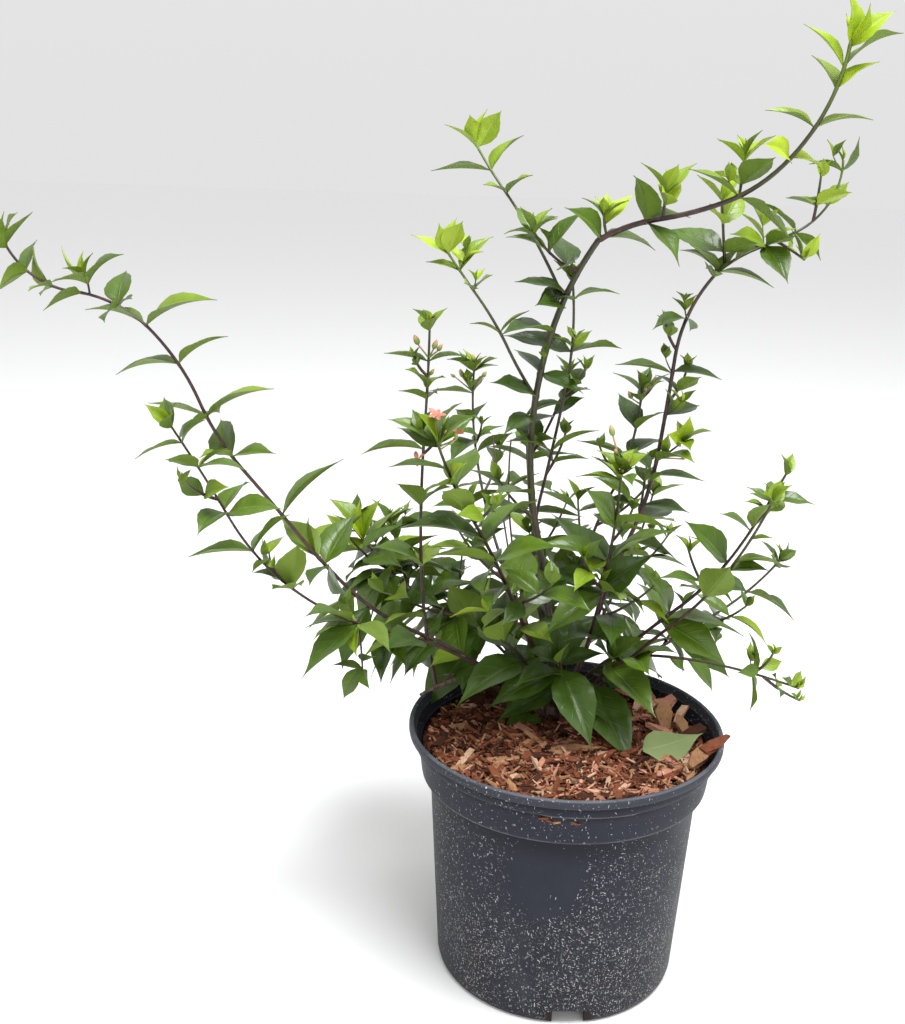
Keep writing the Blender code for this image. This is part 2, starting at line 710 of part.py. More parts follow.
def mulch_height(x, y):
    share = min(1.0, math.hypot(x, y) / COLLAR_TOP_RADIUS)
    bump = math.sin(x / (9 * MM)) * math.cos(y / (11 * MM)) + 0.6 * math.sin((x + 2 * y) / (17 * MM))
    near_crown = math.exp(-(((x - CROWN_PLACE.x) ** 2 + (y - CROWN_PLACE.y) ** 2) / (24 * MM) ** 2))
    rough = MULCH_BUMP * bump * (1 - near_crown) * (1 - share**4)
    return MULCH_HEIGHT + MULCH_MOUND * (1 - share**2) - MULCH_FALL * y / COLLAR_TOP_RADIUS + rough


def make_mulch(bark):
    """The pot's fill: root ball below and bark mulch on top, with the largest chips fused on."""
    profile = [(0.0, POT_WALL + CLEARANCE)] + inside_profile(CLEARANCE)[:-1]
    vertices, faces = turned(profile + [(0.0, 0.0)], POT_SEGMENTS)
    faces = [face for face in faces if 1 not in face]
    vertices[1] = Vector((0.0, 0.0, mulch_height(0.0, 0.0)))
    rings = [2 + (len(profile) - 2) * POT_SEGMENTS]
    for ring in range(MULCH_RINGS):
        rings.append(len(vertices))
        for spoke in range(POT_SEGMENTS):
            outward = heading_vector(360.0 * spoke / POT_SEGMENTS)
            reach = wall_radius(mulch_height(*(outward * COLLAR_TOP_RADIUS).xy))
            x, y = (outward * reach * (1 - ring / MULCH_RINGS)).xy
            vertices.append(Vector((x, y, mulch_height(x, y))))
    for spoke in range(POT_SEGMENTS):
        following = (spoke + 1) % POT_SEGMENTS
        for low, high in zip(rings, rings[1:]):
            faces.append((low + spoke, low + following, high + following, high + spoke))
        faces.append((1, rings[-1] + spoke, rings[-1] + following))
    fuse("bark_mulch", (vertices, faces), mulch_chips(), bark)


def mulch_chips():
    """Flat chips half sunk in the mulch, none of them at the root crown."""
    rng = random.Random(SEED)
    chips = []
    while len(chips) < CHIPS:
        radius, angle = rng.uniform(*CHIP_ZONE), rng.uniform(0, 2 * math.pi)
        x, y = radius * math.cos(angle), radius * math.sin(angle)
        if (Vector((x, y, 0)) - CROWN_PLACE).length < CROWN_ROOM:
            continue
        size = (rng.uniform(*CHIP_LENGTH), rng.uniform(*CHIP_WIDTH), rng.uniform(*CHIP_THICKNESS))
        turn = Matrix.Rotation(rng.uniform(0, math.pi), 4, "Z")
        tilt = Matrix.Rotation(rng.uniform(-CHIP_TILT, CHIP_TILT), 4, "X")
        chips.append(slab(Vector((x, y, mulch_height(x, y) + 0.5 * MM)), size, turn @ tilt))
    return chips


def slab(centre, size, turn):
    """A flat chip with its long ends drawn in."""
    faces = [(0, 3, 2, 1), (4, 5, 6, 7), (0, 1, 5, 4), (1, 2, 6, 5), (2, 3, 7, 6), (3, 0, 4, 7)]
    vertices = []
    for height in (-0.5, 0.5):
        for x, y in ((-0.5, -0.3), (0.5, -0.5), (0.42, 0.5), (-0.4, 0.32)):
            corner = Vector((x * size[0], y * size[1], height * size[2]))
            vertices.append(centre + turn @ corner)
    return vertices, faces


def fuse(name, base, pieces, surface):
    """One closed solid from a base and the pieces that are sunk into it."""
    solid = mesh_object(name, *base, surface)
    joined = bpy.data.collections.new(name + " pieces")
    bpy.context.scene.collection.children.link(joined)
    for vertices, faces in pieces:
        mesh = bpy.data.meshes.new(name + " piece")
        mesh.from_pydata([tuple(v) for v in vertices], [], faces)
        joined.objects.link(bpy.data.objects.new(name + " piece", mesh))
    union = solid.modifiers.new("joined", "BOOLEAN")
    union.operation = "UNION"
    union.operand_type = "COLLECTION"
    union.collection = joined
    union.solver = "EXACT"
    bpy.context.view_layer.update()
    if not is_closed(solid):
        union.solver = "MANIFOLD"
        bpy.context.view_layer.update()
    settle(solid, joined)
    keep_outer_body(solid)
    solid.data.shade_smooth()
    solid.data.set_sharp_from_angle(angle=math.radians(40.0))
    return solid


def is_closed(solid):
    bm = bmesh.new()
    bm.from_object(solid, bpy.context.evaluated_depsgraph_get())
    closed = len(bm.faces) > 0 and all(edge.is_manifold for edge in bm.edges)
    bm.free()
    return closed


def keep_outer_body(solid):
    """Fills hollows that the fusing sealed and drops loose scraps, leaving the one largest surface."""
    bm = bmesh.new()
    bm.from_mesh(solid.data)
    seen, bodies = set(), []
    for vertex in bm.verts:
        if vertex in seen:
            continue
        body, waiting = {vertex}, [vertex]
        while waiting:
            for edge in waiting.pop().link_edges:
                fresh = [other for other in edge.verts if other not in body]
                body.update(fresh)
                waiting += fresh
        seen |= body
        bodies.append(body)
    bodies.sort(key=len, reverse=True)
    loose = [vertex for body in bodies[1:] for vertex in body]
    bmesh.ops.delete(bm, geom=loose, context="VERTS")
    bm.to_mesh(solid.data)
    bm.free()


def make_crown(wood):
    profile = [
        (0.0, CROWN_FOOT),
        (CROWN_RADIUS * 1.05, CROWN_FOOT),
        (CROWN_RADIUS, CROWN_FOOT + 0.45 * CROWN_TALL),
        (CROWN_RADIUS * 0.66, CROWN_FOOT + 0.85 * CROWN_TALL),
        (0.0, CROWN_FOOT + CROWN_TALL),
    ]
    vertices, faces = turned(profile, CROWN_SIDES)
    vertices = [vertex + CROWN_PLACE for vertex in vertices]
    mesh_object("root_crown", vertices, faces, wood)
    return vertices, faces


class Growth:
    """A stem with its path, its taper and the stretch that each of its solids takes."""

    def __init__(self, name, stem, start):
        self.name = name
        self.stem = stem
        self.path = Path(start, stem.heading, stem.length * MM, stem.leans)
        self.begin = 0.0

    def radius(self, distance):
        share = distance / self.path.length
        foot, tip = self.stem.thick
        return (foot + (tip - foot) * share) * MM / 2

    def stretches(self):
        """Each solid's name with the distances where it starts and ends."""
        start = self.begin
        for index, (name, share) in enumerate(self.stem.solids):
            end = share * self.path.length
            yield name, start, end - (CLEARANCE / 2 if share < 1.0 else 0.0)
            start = end + CLEARANCE / 2

    def bare(self, name):
        return self.stem.pairs is None or (len(self.stem.solids) > 1 and name == self.stem.solids[0][0])


def place_stems(crown):
    """Every stem's path, each stem standing clear of the crown or of the stem that carries it."""
    grown = {}
    crown_tree = BVHTree.FromPolygons(*crown)
    for name, stem in STEMS.items():
        if isinstance(stem.root, Seat):
            out = heading_vector(stem.root.azimuth) * stem.root.out
            start = Vector((CROWN_PLACE.x, CROWN_PLACE.y, stem.root.height)) + out
            growth = Growth(name, stem, start)
            growth.begin = clear_start(growth.path, growth.radius(0.0), crown_tree)
        else:
            carrier, share = stem.root
            host = grown[carrier]
            distance = share * host.path.length
            growth = Growth(name, stem, host.path.at(distance))
            if share < 1.0:
                near = max(0.0, distance - FORK_REACH), min(host.path.length, distance + FORK_REACH)
                wood = BVHTree.FromPolygons(*tube(host.path, *near, host.radius, 12))
                growth.begin = clear_start(growth.path, growth.radius(0.0), wood)
            else:
                growth.begin = clear_start_end(growth.path, host)
        grown[name] = growth
    return grown


def clear_start_end(path, host):
    """A stem that carries on from another's tip starts one clearance beyond it."""
    tip = host.path.at(host.path.length)
    tangent = host.path.tangent(host.path.length)
    bend = path.tangent(0.0).angle(tangent)
    room = CLEARANCE + host.radius(host.path.length) * math.sin(bend)
    distance = 0.0
    while (path.at(distance) - tip).dot(tangent) < room:
        distance += 0.05 * MM
    return distance


class Leaf:
    """One leaf: where its root sits, which way it points, how it lies and how long it is."""

    def __init__(self, root, thick, tangent, turn, lift, roll, length):
        self.root, self.thick, self.tangent = root, thick, tangent
        self.turn, self.lift, self.roll, self.length = turn, lift, roll, length

    def axes(self):
        lift = math.radians(self.lift)
        direction = heading_vector(self.turn) * math.cos(lift) + UP * math.sin(lift)
        outward = Vector((self.root.x, self.root.y, 0.0)) / CROWN_SPREAD
        rising = UP + self.tangent * FACE_ALONG + outward * FACE_OUTWARD + LIGHT * FACE_LIGHT
        normal = (rising - direction * rising.dot(direction)).normalized()
        normal = Matrix.Rotation(math.radians(self.roll), 3, direction) @ normal
        return direction, normal

    def mesh(self, grow=0.0):
        direction, normal = self.axes()
        return blade(self.root + direction * LEAF_ROOT * self.thick, direction, normal, self.length, grow)

    def outer(self):
        """The blade beyond its root, which may touch nothing of its own shoot either."""
        direction, normal = self.axes()
        return blade(self.root + direction * self.length * 0.2, direction, normal, self.length * 0.8)


def lowness(point):
    """One in the dense low part of the crown, none above it."""
    low, high = LOW_ZONE
    return min(max((high - point.z) / (high - low), 0.0), 1.0)


def away(point):
    """The level direction from the pot's axis out to a point."""
    return Vector((point.x, point.y, 0.0)).normalized()


def stem_leaves(path, radius, first, last, gaps, sizes, turn, spread, rest, cluster, rng):
    """Opposite pairs up a stem, with a cluster of young leaves at its tip."""
    reaches_tip = last >= path.length - MM
    distance, node = first, 0
    while distance < last - 7 * MM:
        share = (distance - first) / max(last - first, 1 * MM)
        place, tangent = path.at(distance), path.tangent(distance)
        low = lowness(place)
        young = max(0.0, 1.0 - (path.length - distance) / YOUNG_REACH) if reaches_tip else 0.0
        side = spread if node % 2 == 0 else -spread
        pair_turn = path.heading + turn + side + rng.uniform(-1, 1) * LEAF_TURN_SPREAD
        for leaf_turn in (pair_turn, pair_turn + 180.0):
            pointing = heading_vector(leaf_turn)
            lift = rest + YOUNG_LIFT * young - LEAF_OUTWARD_DROOP * pointing.dot(tangent)
            lift -= LOW_DROOP * low * (0.55 + 0.45 * pointing.dot(away(place)))
            lift += rng.uniform(-1, 1) * LEAF_LIFT_SPREAD
            roll = rng.uniform(-1, 1) * LEAF_ROLL_SPREAD
            length = between(sizes, share) * MM * (1 + rng.uniform(-1, 1) * SIZE_SPREAD)
            length *= 1 + LOW_GROWTH * low
            yield Leaf(place, radius(distance), tangent, leaf_turn, lift, roll, length)
        distance += between(gaps, share) * MM
        node += 1
    if reaches_tip:
        yield from tip_leaves(path, radius, sizes[-1], turn + 90.0 * node, cluster, rng)


def tip_leaves(path, radius, size, turn, cluster, rng):
    """Small young leaves in upright pairs, each pair across the one before."""
    for back, share, lift in cluster:
        pair_turn = path.heading + turn + rng.uniform(-1, 1) * LEAF_TURN_SPREAD
        distance = path.length - (5.0 - back) * MM
        place, tangent = path.at(distance), path.tangent(distance)
        length = max(size * share, 9.0) * MM
        for leaf_turn in (pair_turn, pair_turn + 180.0):
            lean = lift + rng.uniform(-8, 8)
            yield Leaf(place, radius(distance), tangent, leaf_turn, lean, 0.0, length)
        turn += 90.0


def grow_leaves(leaves, owner, space, rng):
    """The leaves that find room: each is turned and lifted a few times before it is skipped."""
    placed = []
    for leaf in leaves:
        turn, lift, length = leaf.turn, leaf.lift, leaf.length
        for attempt in range(TRIES):
            grown = leaf.mesh(CLEARANCE)
            if not space.hits(*grown, skip=(owner,)) and not space.hits(*leaf.outer(), only=owner):
                space.add(*leaf.mesh(), owner)
                placed.append(leaf)
                break
            leaf.turn = turn + rng.uniform(-1, 1) * RETRY_TURN
            leaf.lift = lift + rng.uniform(-1, 1) * RETRY_LIFT
            leaf.length = length * (1.0 - 0.05 * attempt)
    return placed


def clear_surroundings():
    for obj in list(bpy.data.objects):
        bpy.data.objects.remove(obj)


class Shoot:
    """A leafy stretch of stem that becomes one solid, with the side twigs that found room on it."""

    def __init__(self, name, growth, start, end, form):
        self.name, self.growth = name, growth
        self.start, self.end, self.form = start, end, form
        self.twigs = []

    def grow_twigs(self, space):
        stem, main = self.growth.stem, self.growth.path
        for side in stem.sides:
            if not self.start + 3 * MM < side.at * MM < self.end - 3 * MM:
                continue
            path = Path(main.at(side.at * MM), stem.heading + side.turn, side.length * MM, side.leans)
            form = tube(path, 0.0, path.length, taper_of(path), TWIG_SIDES, TWIG_STEP)
            near = tube(path, 4 * MM, path.length, wider_twig, TWIG_SIDES, TWIG_STEP)
            beyond = tube(path, 9 * MM, path.length, wider_twig, TWIG_SIDES, TWIG_STEP)
            if space.hits(*near, skip=(self.name,)) or space.hits(*beyond, only=self.name):
                continue
            space.add(*form, self.name)
            self.twigs.append((side, path, form))

    def leaves(self):
        """Every leaf of this shoot: named large ones, then pairs on its stem and on its twigs."""
        rng = random.Random(f"{SEED} {self.name}")
        growth, pairs, path = self.growth, self.growth.stem.pairs, self.growth.path
        for single in reversed(growth.stem.blades):
            at, length = single.at * MM, single.length * MM
            root, thick, tangent = path.at(at), growth.radius(at), path.tangent(at)
            yield Leaf(root, thick, tangent, single.heading, single.lift, 0.0, length)
        first = max(pairs.first * MM, self.start + 4 * MM)
        last = path.length if self.end > path.length - MM else self.end - 4 * MM
        ends = [(at - pairs.first * MM) / (path.length - pairs.first * MM) for at in (first, last)]
        sizes = [between(pairs.sizes, share) for share in ends]
        gaps = [between(pairs.gaps, share) for share in ends]
        habit = (pairs.turn, pairs.spread, pairs.lift, CLUSTER)
        yield from stem_leaves(path, growth.radius, first, last, gaps, sizes, *habit, rng)
        for side, path, _ in self.twigs:
            sizes = (side.size, side.size * SIDE_SIZE_FALL)
            gaps = (SIDE_GAP, SIDE_GAP)
            habit = (SIDE_TURN, SIDE_SPREAD, SIDE_LIFT, SIDE_CLUSTER)
            taper, last = taper_of(path), path.length
            yield from stem_leaves(path, taper, SIDE_FIRST, last, gaps, sizes, *habit, rng)

    def fuse(self, space, surface):
        placed = grow_leaves(self.leaves(), self.name, space, random.Random(f"{SEED} {self.name} room"))
        pieces = [form for _, _, form in self.twigs] + [leaf.mesh() for leaf in placed]
        fuse(self.name, self.form, pieces, surface)
        return len(placed)


def wider_twig(distance):
    return TWIG_TAPER[0] + CLEARANCE


def taper_of(path):
    return lambda distance: between(TWIG_TAPER, distance / path.length)


def make_plant(crown, fixed):
    """Canes, boughs and leafy shoots, each stretch of stem its own solid."""
    wood = material("bark", WOOD_COLOUR, 0.6)
    leafage = material("foliage", LEAF_COLOUR, 0.35)
    space = Space()
    for vertices, faces, owner in fixed:
        space.add(vertices, faces, owner)
    shoots = []
    for growth in place_stems(crown).values():
        for name, start, end in growth.stretches():
            bare = growth.bare(name)
            sides = CANE_SIDES if bare else SHOOT_SIDES
            form = tube(growth.path, start, end, growth.radius, sides)
            clash = space.hits(*form)
            if clash:
                print("clash:", name, "meets", clash)
            space.add_chunks(*form, name, sides)
            if bare:
                mesh_object(name, *form, wood)
            else:
                shoots.append(Shoot(name, growth, start, end, form))
    for shoot in shoots:
        shoot.grow_twigs(space)
    print(sum(shoot.fuse(space, leafage) for shoot in shoots), "leaves")


def main():
    clear_surroundings()
    make_pot(material("pot plastic", POT_COLOUR, 0.55))
    make_mulch(material("bark mulch", MULCH_COLOUR, 0.9))
    crown = make_crown(material("crown wood", CROWN_COLOUR, 0.85))
    fixed = [(*crown, "root_crown")]
    for name in ("pot", "bark_mulch"):
        mesh = bpy.data.objects[name].data
        vertices = [vertex.co.copy() for vertex in mesh.vertices]
        fixed.append((vertices, [tuple(face.vertices) for face in mesh.polygons], name))
    make_plant(crown, fixed)


main()
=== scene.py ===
# %% Load the fixed frame
import itertools
import json
import math
import random
from collections import namedtuple

import bmesh
import bpy
import numpy as np
from mathutils import Matrix, Vector
from mathutils.bvhtree import BVHTree

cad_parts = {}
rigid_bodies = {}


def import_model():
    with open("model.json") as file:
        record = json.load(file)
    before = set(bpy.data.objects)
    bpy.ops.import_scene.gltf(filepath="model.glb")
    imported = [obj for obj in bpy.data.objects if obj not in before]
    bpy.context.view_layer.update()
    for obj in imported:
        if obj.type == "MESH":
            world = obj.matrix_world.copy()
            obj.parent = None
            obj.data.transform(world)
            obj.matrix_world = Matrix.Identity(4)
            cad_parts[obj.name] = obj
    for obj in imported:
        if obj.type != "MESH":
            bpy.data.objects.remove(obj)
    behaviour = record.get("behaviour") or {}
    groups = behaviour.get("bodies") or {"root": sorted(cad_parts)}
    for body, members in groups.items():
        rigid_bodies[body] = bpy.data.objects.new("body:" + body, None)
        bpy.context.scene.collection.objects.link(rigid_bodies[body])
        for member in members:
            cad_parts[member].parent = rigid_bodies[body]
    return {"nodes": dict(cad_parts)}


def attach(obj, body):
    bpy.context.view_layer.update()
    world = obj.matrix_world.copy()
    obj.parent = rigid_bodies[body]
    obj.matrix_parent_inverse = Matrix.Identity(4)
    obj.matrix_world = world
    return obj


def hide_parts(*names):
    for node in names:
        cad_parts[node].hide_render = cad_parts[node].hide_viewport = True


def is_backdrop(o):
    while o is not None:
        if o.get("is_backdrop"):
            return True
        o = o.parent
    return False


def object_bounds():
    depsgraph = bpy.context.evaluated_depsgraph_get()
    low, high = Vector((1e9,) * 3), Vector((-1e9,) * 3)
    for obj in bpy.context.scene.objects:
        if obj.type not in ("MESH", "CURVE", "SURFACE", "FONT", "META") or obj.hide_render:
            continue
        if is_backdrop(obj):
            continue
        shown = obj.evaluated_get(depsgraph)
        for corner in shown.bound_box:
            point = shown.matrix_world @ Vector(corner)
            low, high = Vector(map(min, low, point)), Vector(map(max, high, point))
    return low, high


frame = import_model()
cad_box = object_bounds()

MM = 0.001
UP = Vector((0.0, 0.0, 1.0))
SEED = 11
print("solids in the frame:", len(frame["nodes"]))
print("their box in metres:", [[round(value, 3) for value in corner] for corner in cad_box])

# %% [markdown]
# # A young glossy abelia in its nursery pot
#
# This lesson dresses a plain solid model of a potted shrub. The solids fix every size and place:
# one node for the pot, one for the bark mulch, one for each bare cane and one for each leafy
# shoot. The scene keeps those places and gives each piece the surface of the real thing.
#
# The work goes from the eye outwards: first the camera and the light, then a small tool for
# writing materials, then the pot and its mulch, then the rule by which the plant grows, and
# last the bark, the leaves and the flowers that follow that rule.

# %% [markdown]
# ## Camera
#
# A photograph's viewpoint can be rebuilt from a few things of known shape. The pot's round lip
# shows as an ellipse, and how flat it is gives the camera's pitch. The pot's taper and the
# distance between lip and foot give the distance and the focal length. The result is kept here
# as a place, three turns and one lens.

# %% Camera
CAMERA_PLACE = Vector((0.0, -0.696, 0.504))
YAW, PITCH, ROLL = math.radians(5.94), math.radians(17.12), math.radians(1.53)
FOCAL_PIXELS, IMAGE_HEIGHT, SENSOR = 1255.0, 1024, 36.0
PLANT_MIDDLE = Vector((0.0, 0.0, 0.3))

forward = Vector((-math.sin(YAW) * math.cos(PITCH), math.cos(YAW) * math.cos(PITCH), -math.sin(PITCH)))
level = Vector((math.cos(YAW), math.sin(YAW), 0.0))
upright = level.cross(forward)
right = level * math.cos(ROLL) + upright * math.sin(ROLL)
above = upright * math.cos(ROLL) - level * math.sin(ROLL)

eye = bpy.data.cameras.new("camera")
eye.sensor_width = SENSOR
eye.lens = FOCAL_PIXELS / IMAGE_HEIGHT * SENSOR
eye.clip_start = 0.01
camera = bpy.data.objects.new("camera", eye)
turned = Matrix((right, above, -forward)).transposed().to_4x4()
camera.matrix_world = Matrix.Translation(CAMERA_PLACE) @ turned
bpy.context.scene.collection.objects.link(camera)
bpy.context.scene.camera = camera
distance = (CAMERA_PLACE - PLANT_MIDDLE).length
print("camera:", round(eye.lens, 1), "mm lens,", round(distance, 3), "m from the plant's middle")

# %% [markdown]
# ## A small language for materials
#
# A material in Blender is a graph of nodes. Written out node by node it is long and hard to
# read, so this cell wraps a node's output in a small class that understands Python's own
# signs: `a * 2 + b` makes the two maths nodes and their wires.

# %% Wires
class Wire:
    """The output of a node, ready for sums."""

    def __init__(self, sheet, socket):
        self.sheet, self.socket = sheet, socket

    def maths(self, operation, *values):
        return self.sheet.node("ShaderNodeMath", {"operation": operation}, dict(enumerate(values)))

    def __add__(self, other):
        return self.maths("ADD", self, other)

    def __sub__(self, other):
        return self.maths("SUBTRACT", self, other)

    def __rsub__(self, other):
        return self.maths("SUBTRACT", other, self)

    def __mul__(self, other):
        return self.maths("MULTIPLY", self, other)

    def __truediv__(self, other):
        return self.maths("DIVIDE", self, other)

    def __rtruediv__(self, other):
        return self.maths("DIVIDE", other, self)

    def __pow__(self, other):
        return self.maths("POWER", self, other)

    def __abs__(self):
        return self.maths("ABSOLUTE", self)

    def __mod__(self, other):
        return self.maths("FLOORED_MODULO", self, other)

    def __lt__(self, other):
        return self.maths("LESS_THAN", self, other)

    __radd__, __rmul__ = __add__, __mul__

    def ramp(self, low, high, bottom=0.0, top=1.0):
        """Rises smoothly from bottom to top as the value goes from low to high."""
        values = {0: self, 1: low, 2: high, 3: bottom, 4: top}
        return self.sheet.node("ShaderNodeMapRange", {"interpolation_type": "SMOOTHSTEP"}, values)


print("a wire answers to + - * / ** % < and abs()")

# %% [markdown]
# A sheet is one whole material. Anything that isn't plain arithmetic is made by one method,
# `node`, that takes the node's type, its settings and its inputs, and gives back a wire. The
# few kinds of node that this plant needs often, such as noise and bump, have a short form.

# %% Sheets
class Sheet:
    """One material's graph, with its Principled shader."""

    def __init__(self, name, **shader):
        self.material = bpy.data.materials.new(name)
        self.material.use_nodes = True
        self.tree = self.material.node_tree
        self.shader = self.tree.nodes["Principled BSDF"]
        self.set(**shader)

    def set(self, **values):
        sockets = {socket.name.replace(" ", "_").lower(): socket for socket in self.shader.inputs}
        for name, value in values.items():
            self.plug(sockets[name], value)

    def plug(self, socket, value):
        if isinstance(value, Wire):
            self.tree.links.new(value.socket, socket)
        elif isinstance(value, tuple) and len(value) == 3 and socket.type == "RGBA":
            socket.default_value = (*value, 1.0)
        else:
            socket.default_value = value

    def node(self, kind, settings=None, inputs=None, output=0):
        made = self.tree.nodes.new(kind)
        for name, value in (settings or {}).items():
            setattr(made, name, value)
        for name, value in (inputs or {}).items():
            self.plug(made.inputs[name], value)
        return Wire(self, made.outputs[output])

    def place(self, kind="Object"):
        return self.node("ShaderNodeTexCoord", output=kind)

    def stretch(self, where, scale):
        return self.node("ShaderNodeMapping", None, {"Vector": where, "Scale": scale})

    def noise(self, where, scale, detail=3.0, roughness=0.55):
        values = {"Vector": where, "Scale": scale, "Detail": detail, "Roughness": roughness}
        return self.node("ShaderNodeTexNoise", None, values)

    def split(self, vector):
        made = self.tree.nodes.new("ShaderNodeSeparateXYZ")
        self.plug(made.inputs[0], vector)
        return [Wire(self, output) for output in made.outputs]

    def mix(self, share, first, second):
        settings = {"data_type": "RGBA"}
        return self.node("ShaderNodeMix", settings, {0: share, 6: first, 7: second}, output=2)

    def bump(self, height, distance):
        self.set(normal=self.node("ShaderNodeBump", None, {"Height": height, "Distance": distance}))


print("a sheet can make:", [name for name in vars(Sheet) if not name.startswith("_")])

# %% [markdown] ## Floor  The photograph has no background and hardly any shadow. A pale floor,
# a bright even world and two large soft lamps come close to that.

# %% Floor
FLOOR_REACH, FLOOR_DROP = 9.0, 0.0005
floor_sheet = Sheet("pale floor", base_color=(0.86, 0.86, 0.86), roughness=0.9)
floor_shade = floor_sheet.noise(floor_sheet.place(), 30.0)
floor_sheet.set(base_color=floor_sheet.mix(floor_shade * 0.15, (0.86, 0.86, 0.86), (0.8, 0.8, 0.8)))
floor_mesh = bpy.data.meshes.new("floor")
corners = [(x * FLOOR_REACH, y * FLOOR_REACH, 0) for x, y in ((-1, -1), (1, -1), (1, 1), (-1, 1))]
floor_mesh.from_pydata(corners, [], [(0, 1, 2, 3)])
floor_mesh.materials.append(floor_sheet.material)
floor = bpy.data.objects.new("floor", floor_mesh)
floor.location.z = -FLOOR_DROP
bpy.context.scene.collection.objects.link(floor)
floor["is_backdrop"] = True
print("floor:", 2 * FLOOR_REACH, "m across")

# %% [markdown]
# ## Light
#
# The lamp above gives the leaves their cool sheen, and the one behind the camera fills in the
# dark side of the pot. The world is a little brighter at the zenith than at the horizon.

# %% Light
HORIZON_GLOW, ZENITH_GLOW = 0.765, 0.92
# Each lamp's name, place, target, size in metres, power in watts and colour
LAMPS = (
    ("sky", (0.3, -0.3, 1.9), (0, 0, 0.3), 1.1, 52, (0.96, 0.98, 1.0)),
    ("front fill", (0.7, -1.9, 0.9), (0, 0, 0.2), 1.5, 12, (1.0, 0.99, 0.97)),
)


def lamp(name, place, target, size, power, colour):
    light = bpy.data.lights.new(name, "AREA")
    light.shape, light.size, light.energy, light.color = "DISK", size, power, colour
    obj = bpy.data.objects.new(name, light)
    obj.location = place
    obj.rotation_euler = (Vector(target) - Vector(place)).to_track_quat("-Z", "Y").to_euler()
    bpy.context.scene.collection.objects.link(obj)


for values in LAMPS:
    lamp(*values)
world = bpy.data.worlds.new("studio")
world.use_nodes = True
dome = world.node_tree
direction = dome.nodes.new("ShaderNodeTexCoord").outputs["Generated"]
parts = dome.nodes.new("ShaderNodeSeparateXYZ")
glow = dome.nodes.new("ShaderNodeMapRange")
dome.links.new(direction, parts.inputs[0])
dome.links.new(parts.outputs["Z"], glow.inputs["Value"])
dome.links.new(glow.outputs[0], dome.nodes["Background"].inputs["Strength"])
dome.nodes["Background"].inputs["Color"].default_value = (1.0, 1.0, 1.0, 1.0)
glow.inputs["To Min"].default_value = HORIZON_GLOW
glow.inputs["To Max"].default_value = ZENITH_GLOW
bpy.context.scene.world = world
bpy.context.scene.view_settings.view_transform = "Standard"
print("lamps:", [name for name, *_ in LAMPS])

# %% [markdown]
# ## Many small things in one mesh
#
# A plant is thousands of small surfaces. One object for each would be slow, so each kind is
# gathered in a heap: arrays of points, four-cornered faces, a place on the surface for each
# point (which materials read as UV) and a finish for each face. The heap becomes one mesh.

# %% Heaps of small surfaces
class Heap:
    """Many small surfaces gathered into one mesh."""

    def __init__(self):
        self.points, self.faces, self.places, self.slots = [], [], [], []
        self.count = 0

    def add(self, points, faces, places, slot):
        self.points.append(points)
        self.faces.append(faces + self.count)
        self.places.append(places)
        self.slots.append(np.full(len(faces), slot))
        self.count += len(points)

    def build(self, name, sheets, replaced, slot):
        points, faces = np.concatenate(self.points), np.concatenate(self.faces)
        places, slots = np.concatenate(self.places), np.concatenate(self.slots)
        mesh = bpy.data.meshes.new(name)
        mesh.from_pydata(points, [], faces.tolist())
        layer = mesh.uv_layers.new(name="place")
        layer.data.foreach_set("uv", places[faces.ravel()].astype(np.float32).ravel())
        mesh.polygons.foreach_set("material_index", slots.astype(np.int32))
        for sheet in sheets:
            mesh.materials.append(sheet.material)
        mesh.shade_smooth()
        return dress(name, mesh, replaced)


def dress(name, mesh, replaced):
    """Puts a finished mesh in the scene in place of its solids."""
    piece = bpy.data.objects.new(name, mesh)
    bpy.context.scene.collection.objects.link(piece)
    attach(piece, "root")
    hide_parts(*replaced)
    mesh.calc_loop_triangles()
    print(name, len(mesh.loop_triangles), "triangles")
    return piece


def grid_faces(rows, columns, closed=False):
    """Faces of a grid of points, closed into a tube if asked."""
    across = columns if closed else columns - 1
    row, column = np.meshgrid(np.arange(rows - 1), np.arange(across), indexing="ij")
    following = (column + 1) % columns
    here, there = row * columns + column, row * columns + following
    return np.stack([here, there, there + columns, here + columns], -1).reshape(-1, 4)


print("a grid of 3 by 3 points has", len(grid_faces(3, 3)), "faces")

# %% [markdown]
# ## The pot
#
# A nursery pot is blown or moulded in one thin skin, so every edge is a small round. It is
# made here as a lathe: one profile, from the underside up the outside, over the rolled lip and
# down the inside, spun in 144 steps. The lowest band of the collar drops a little at the front.

# %% Pot profile
POT_SEGMENTS = 144
# The middle and half the width, in degrees, of the sector where the band drops
BAND_SECTOR = (281.0, 15.0)
BAND_DROP, BAND_EASE = 2.8, 0.03
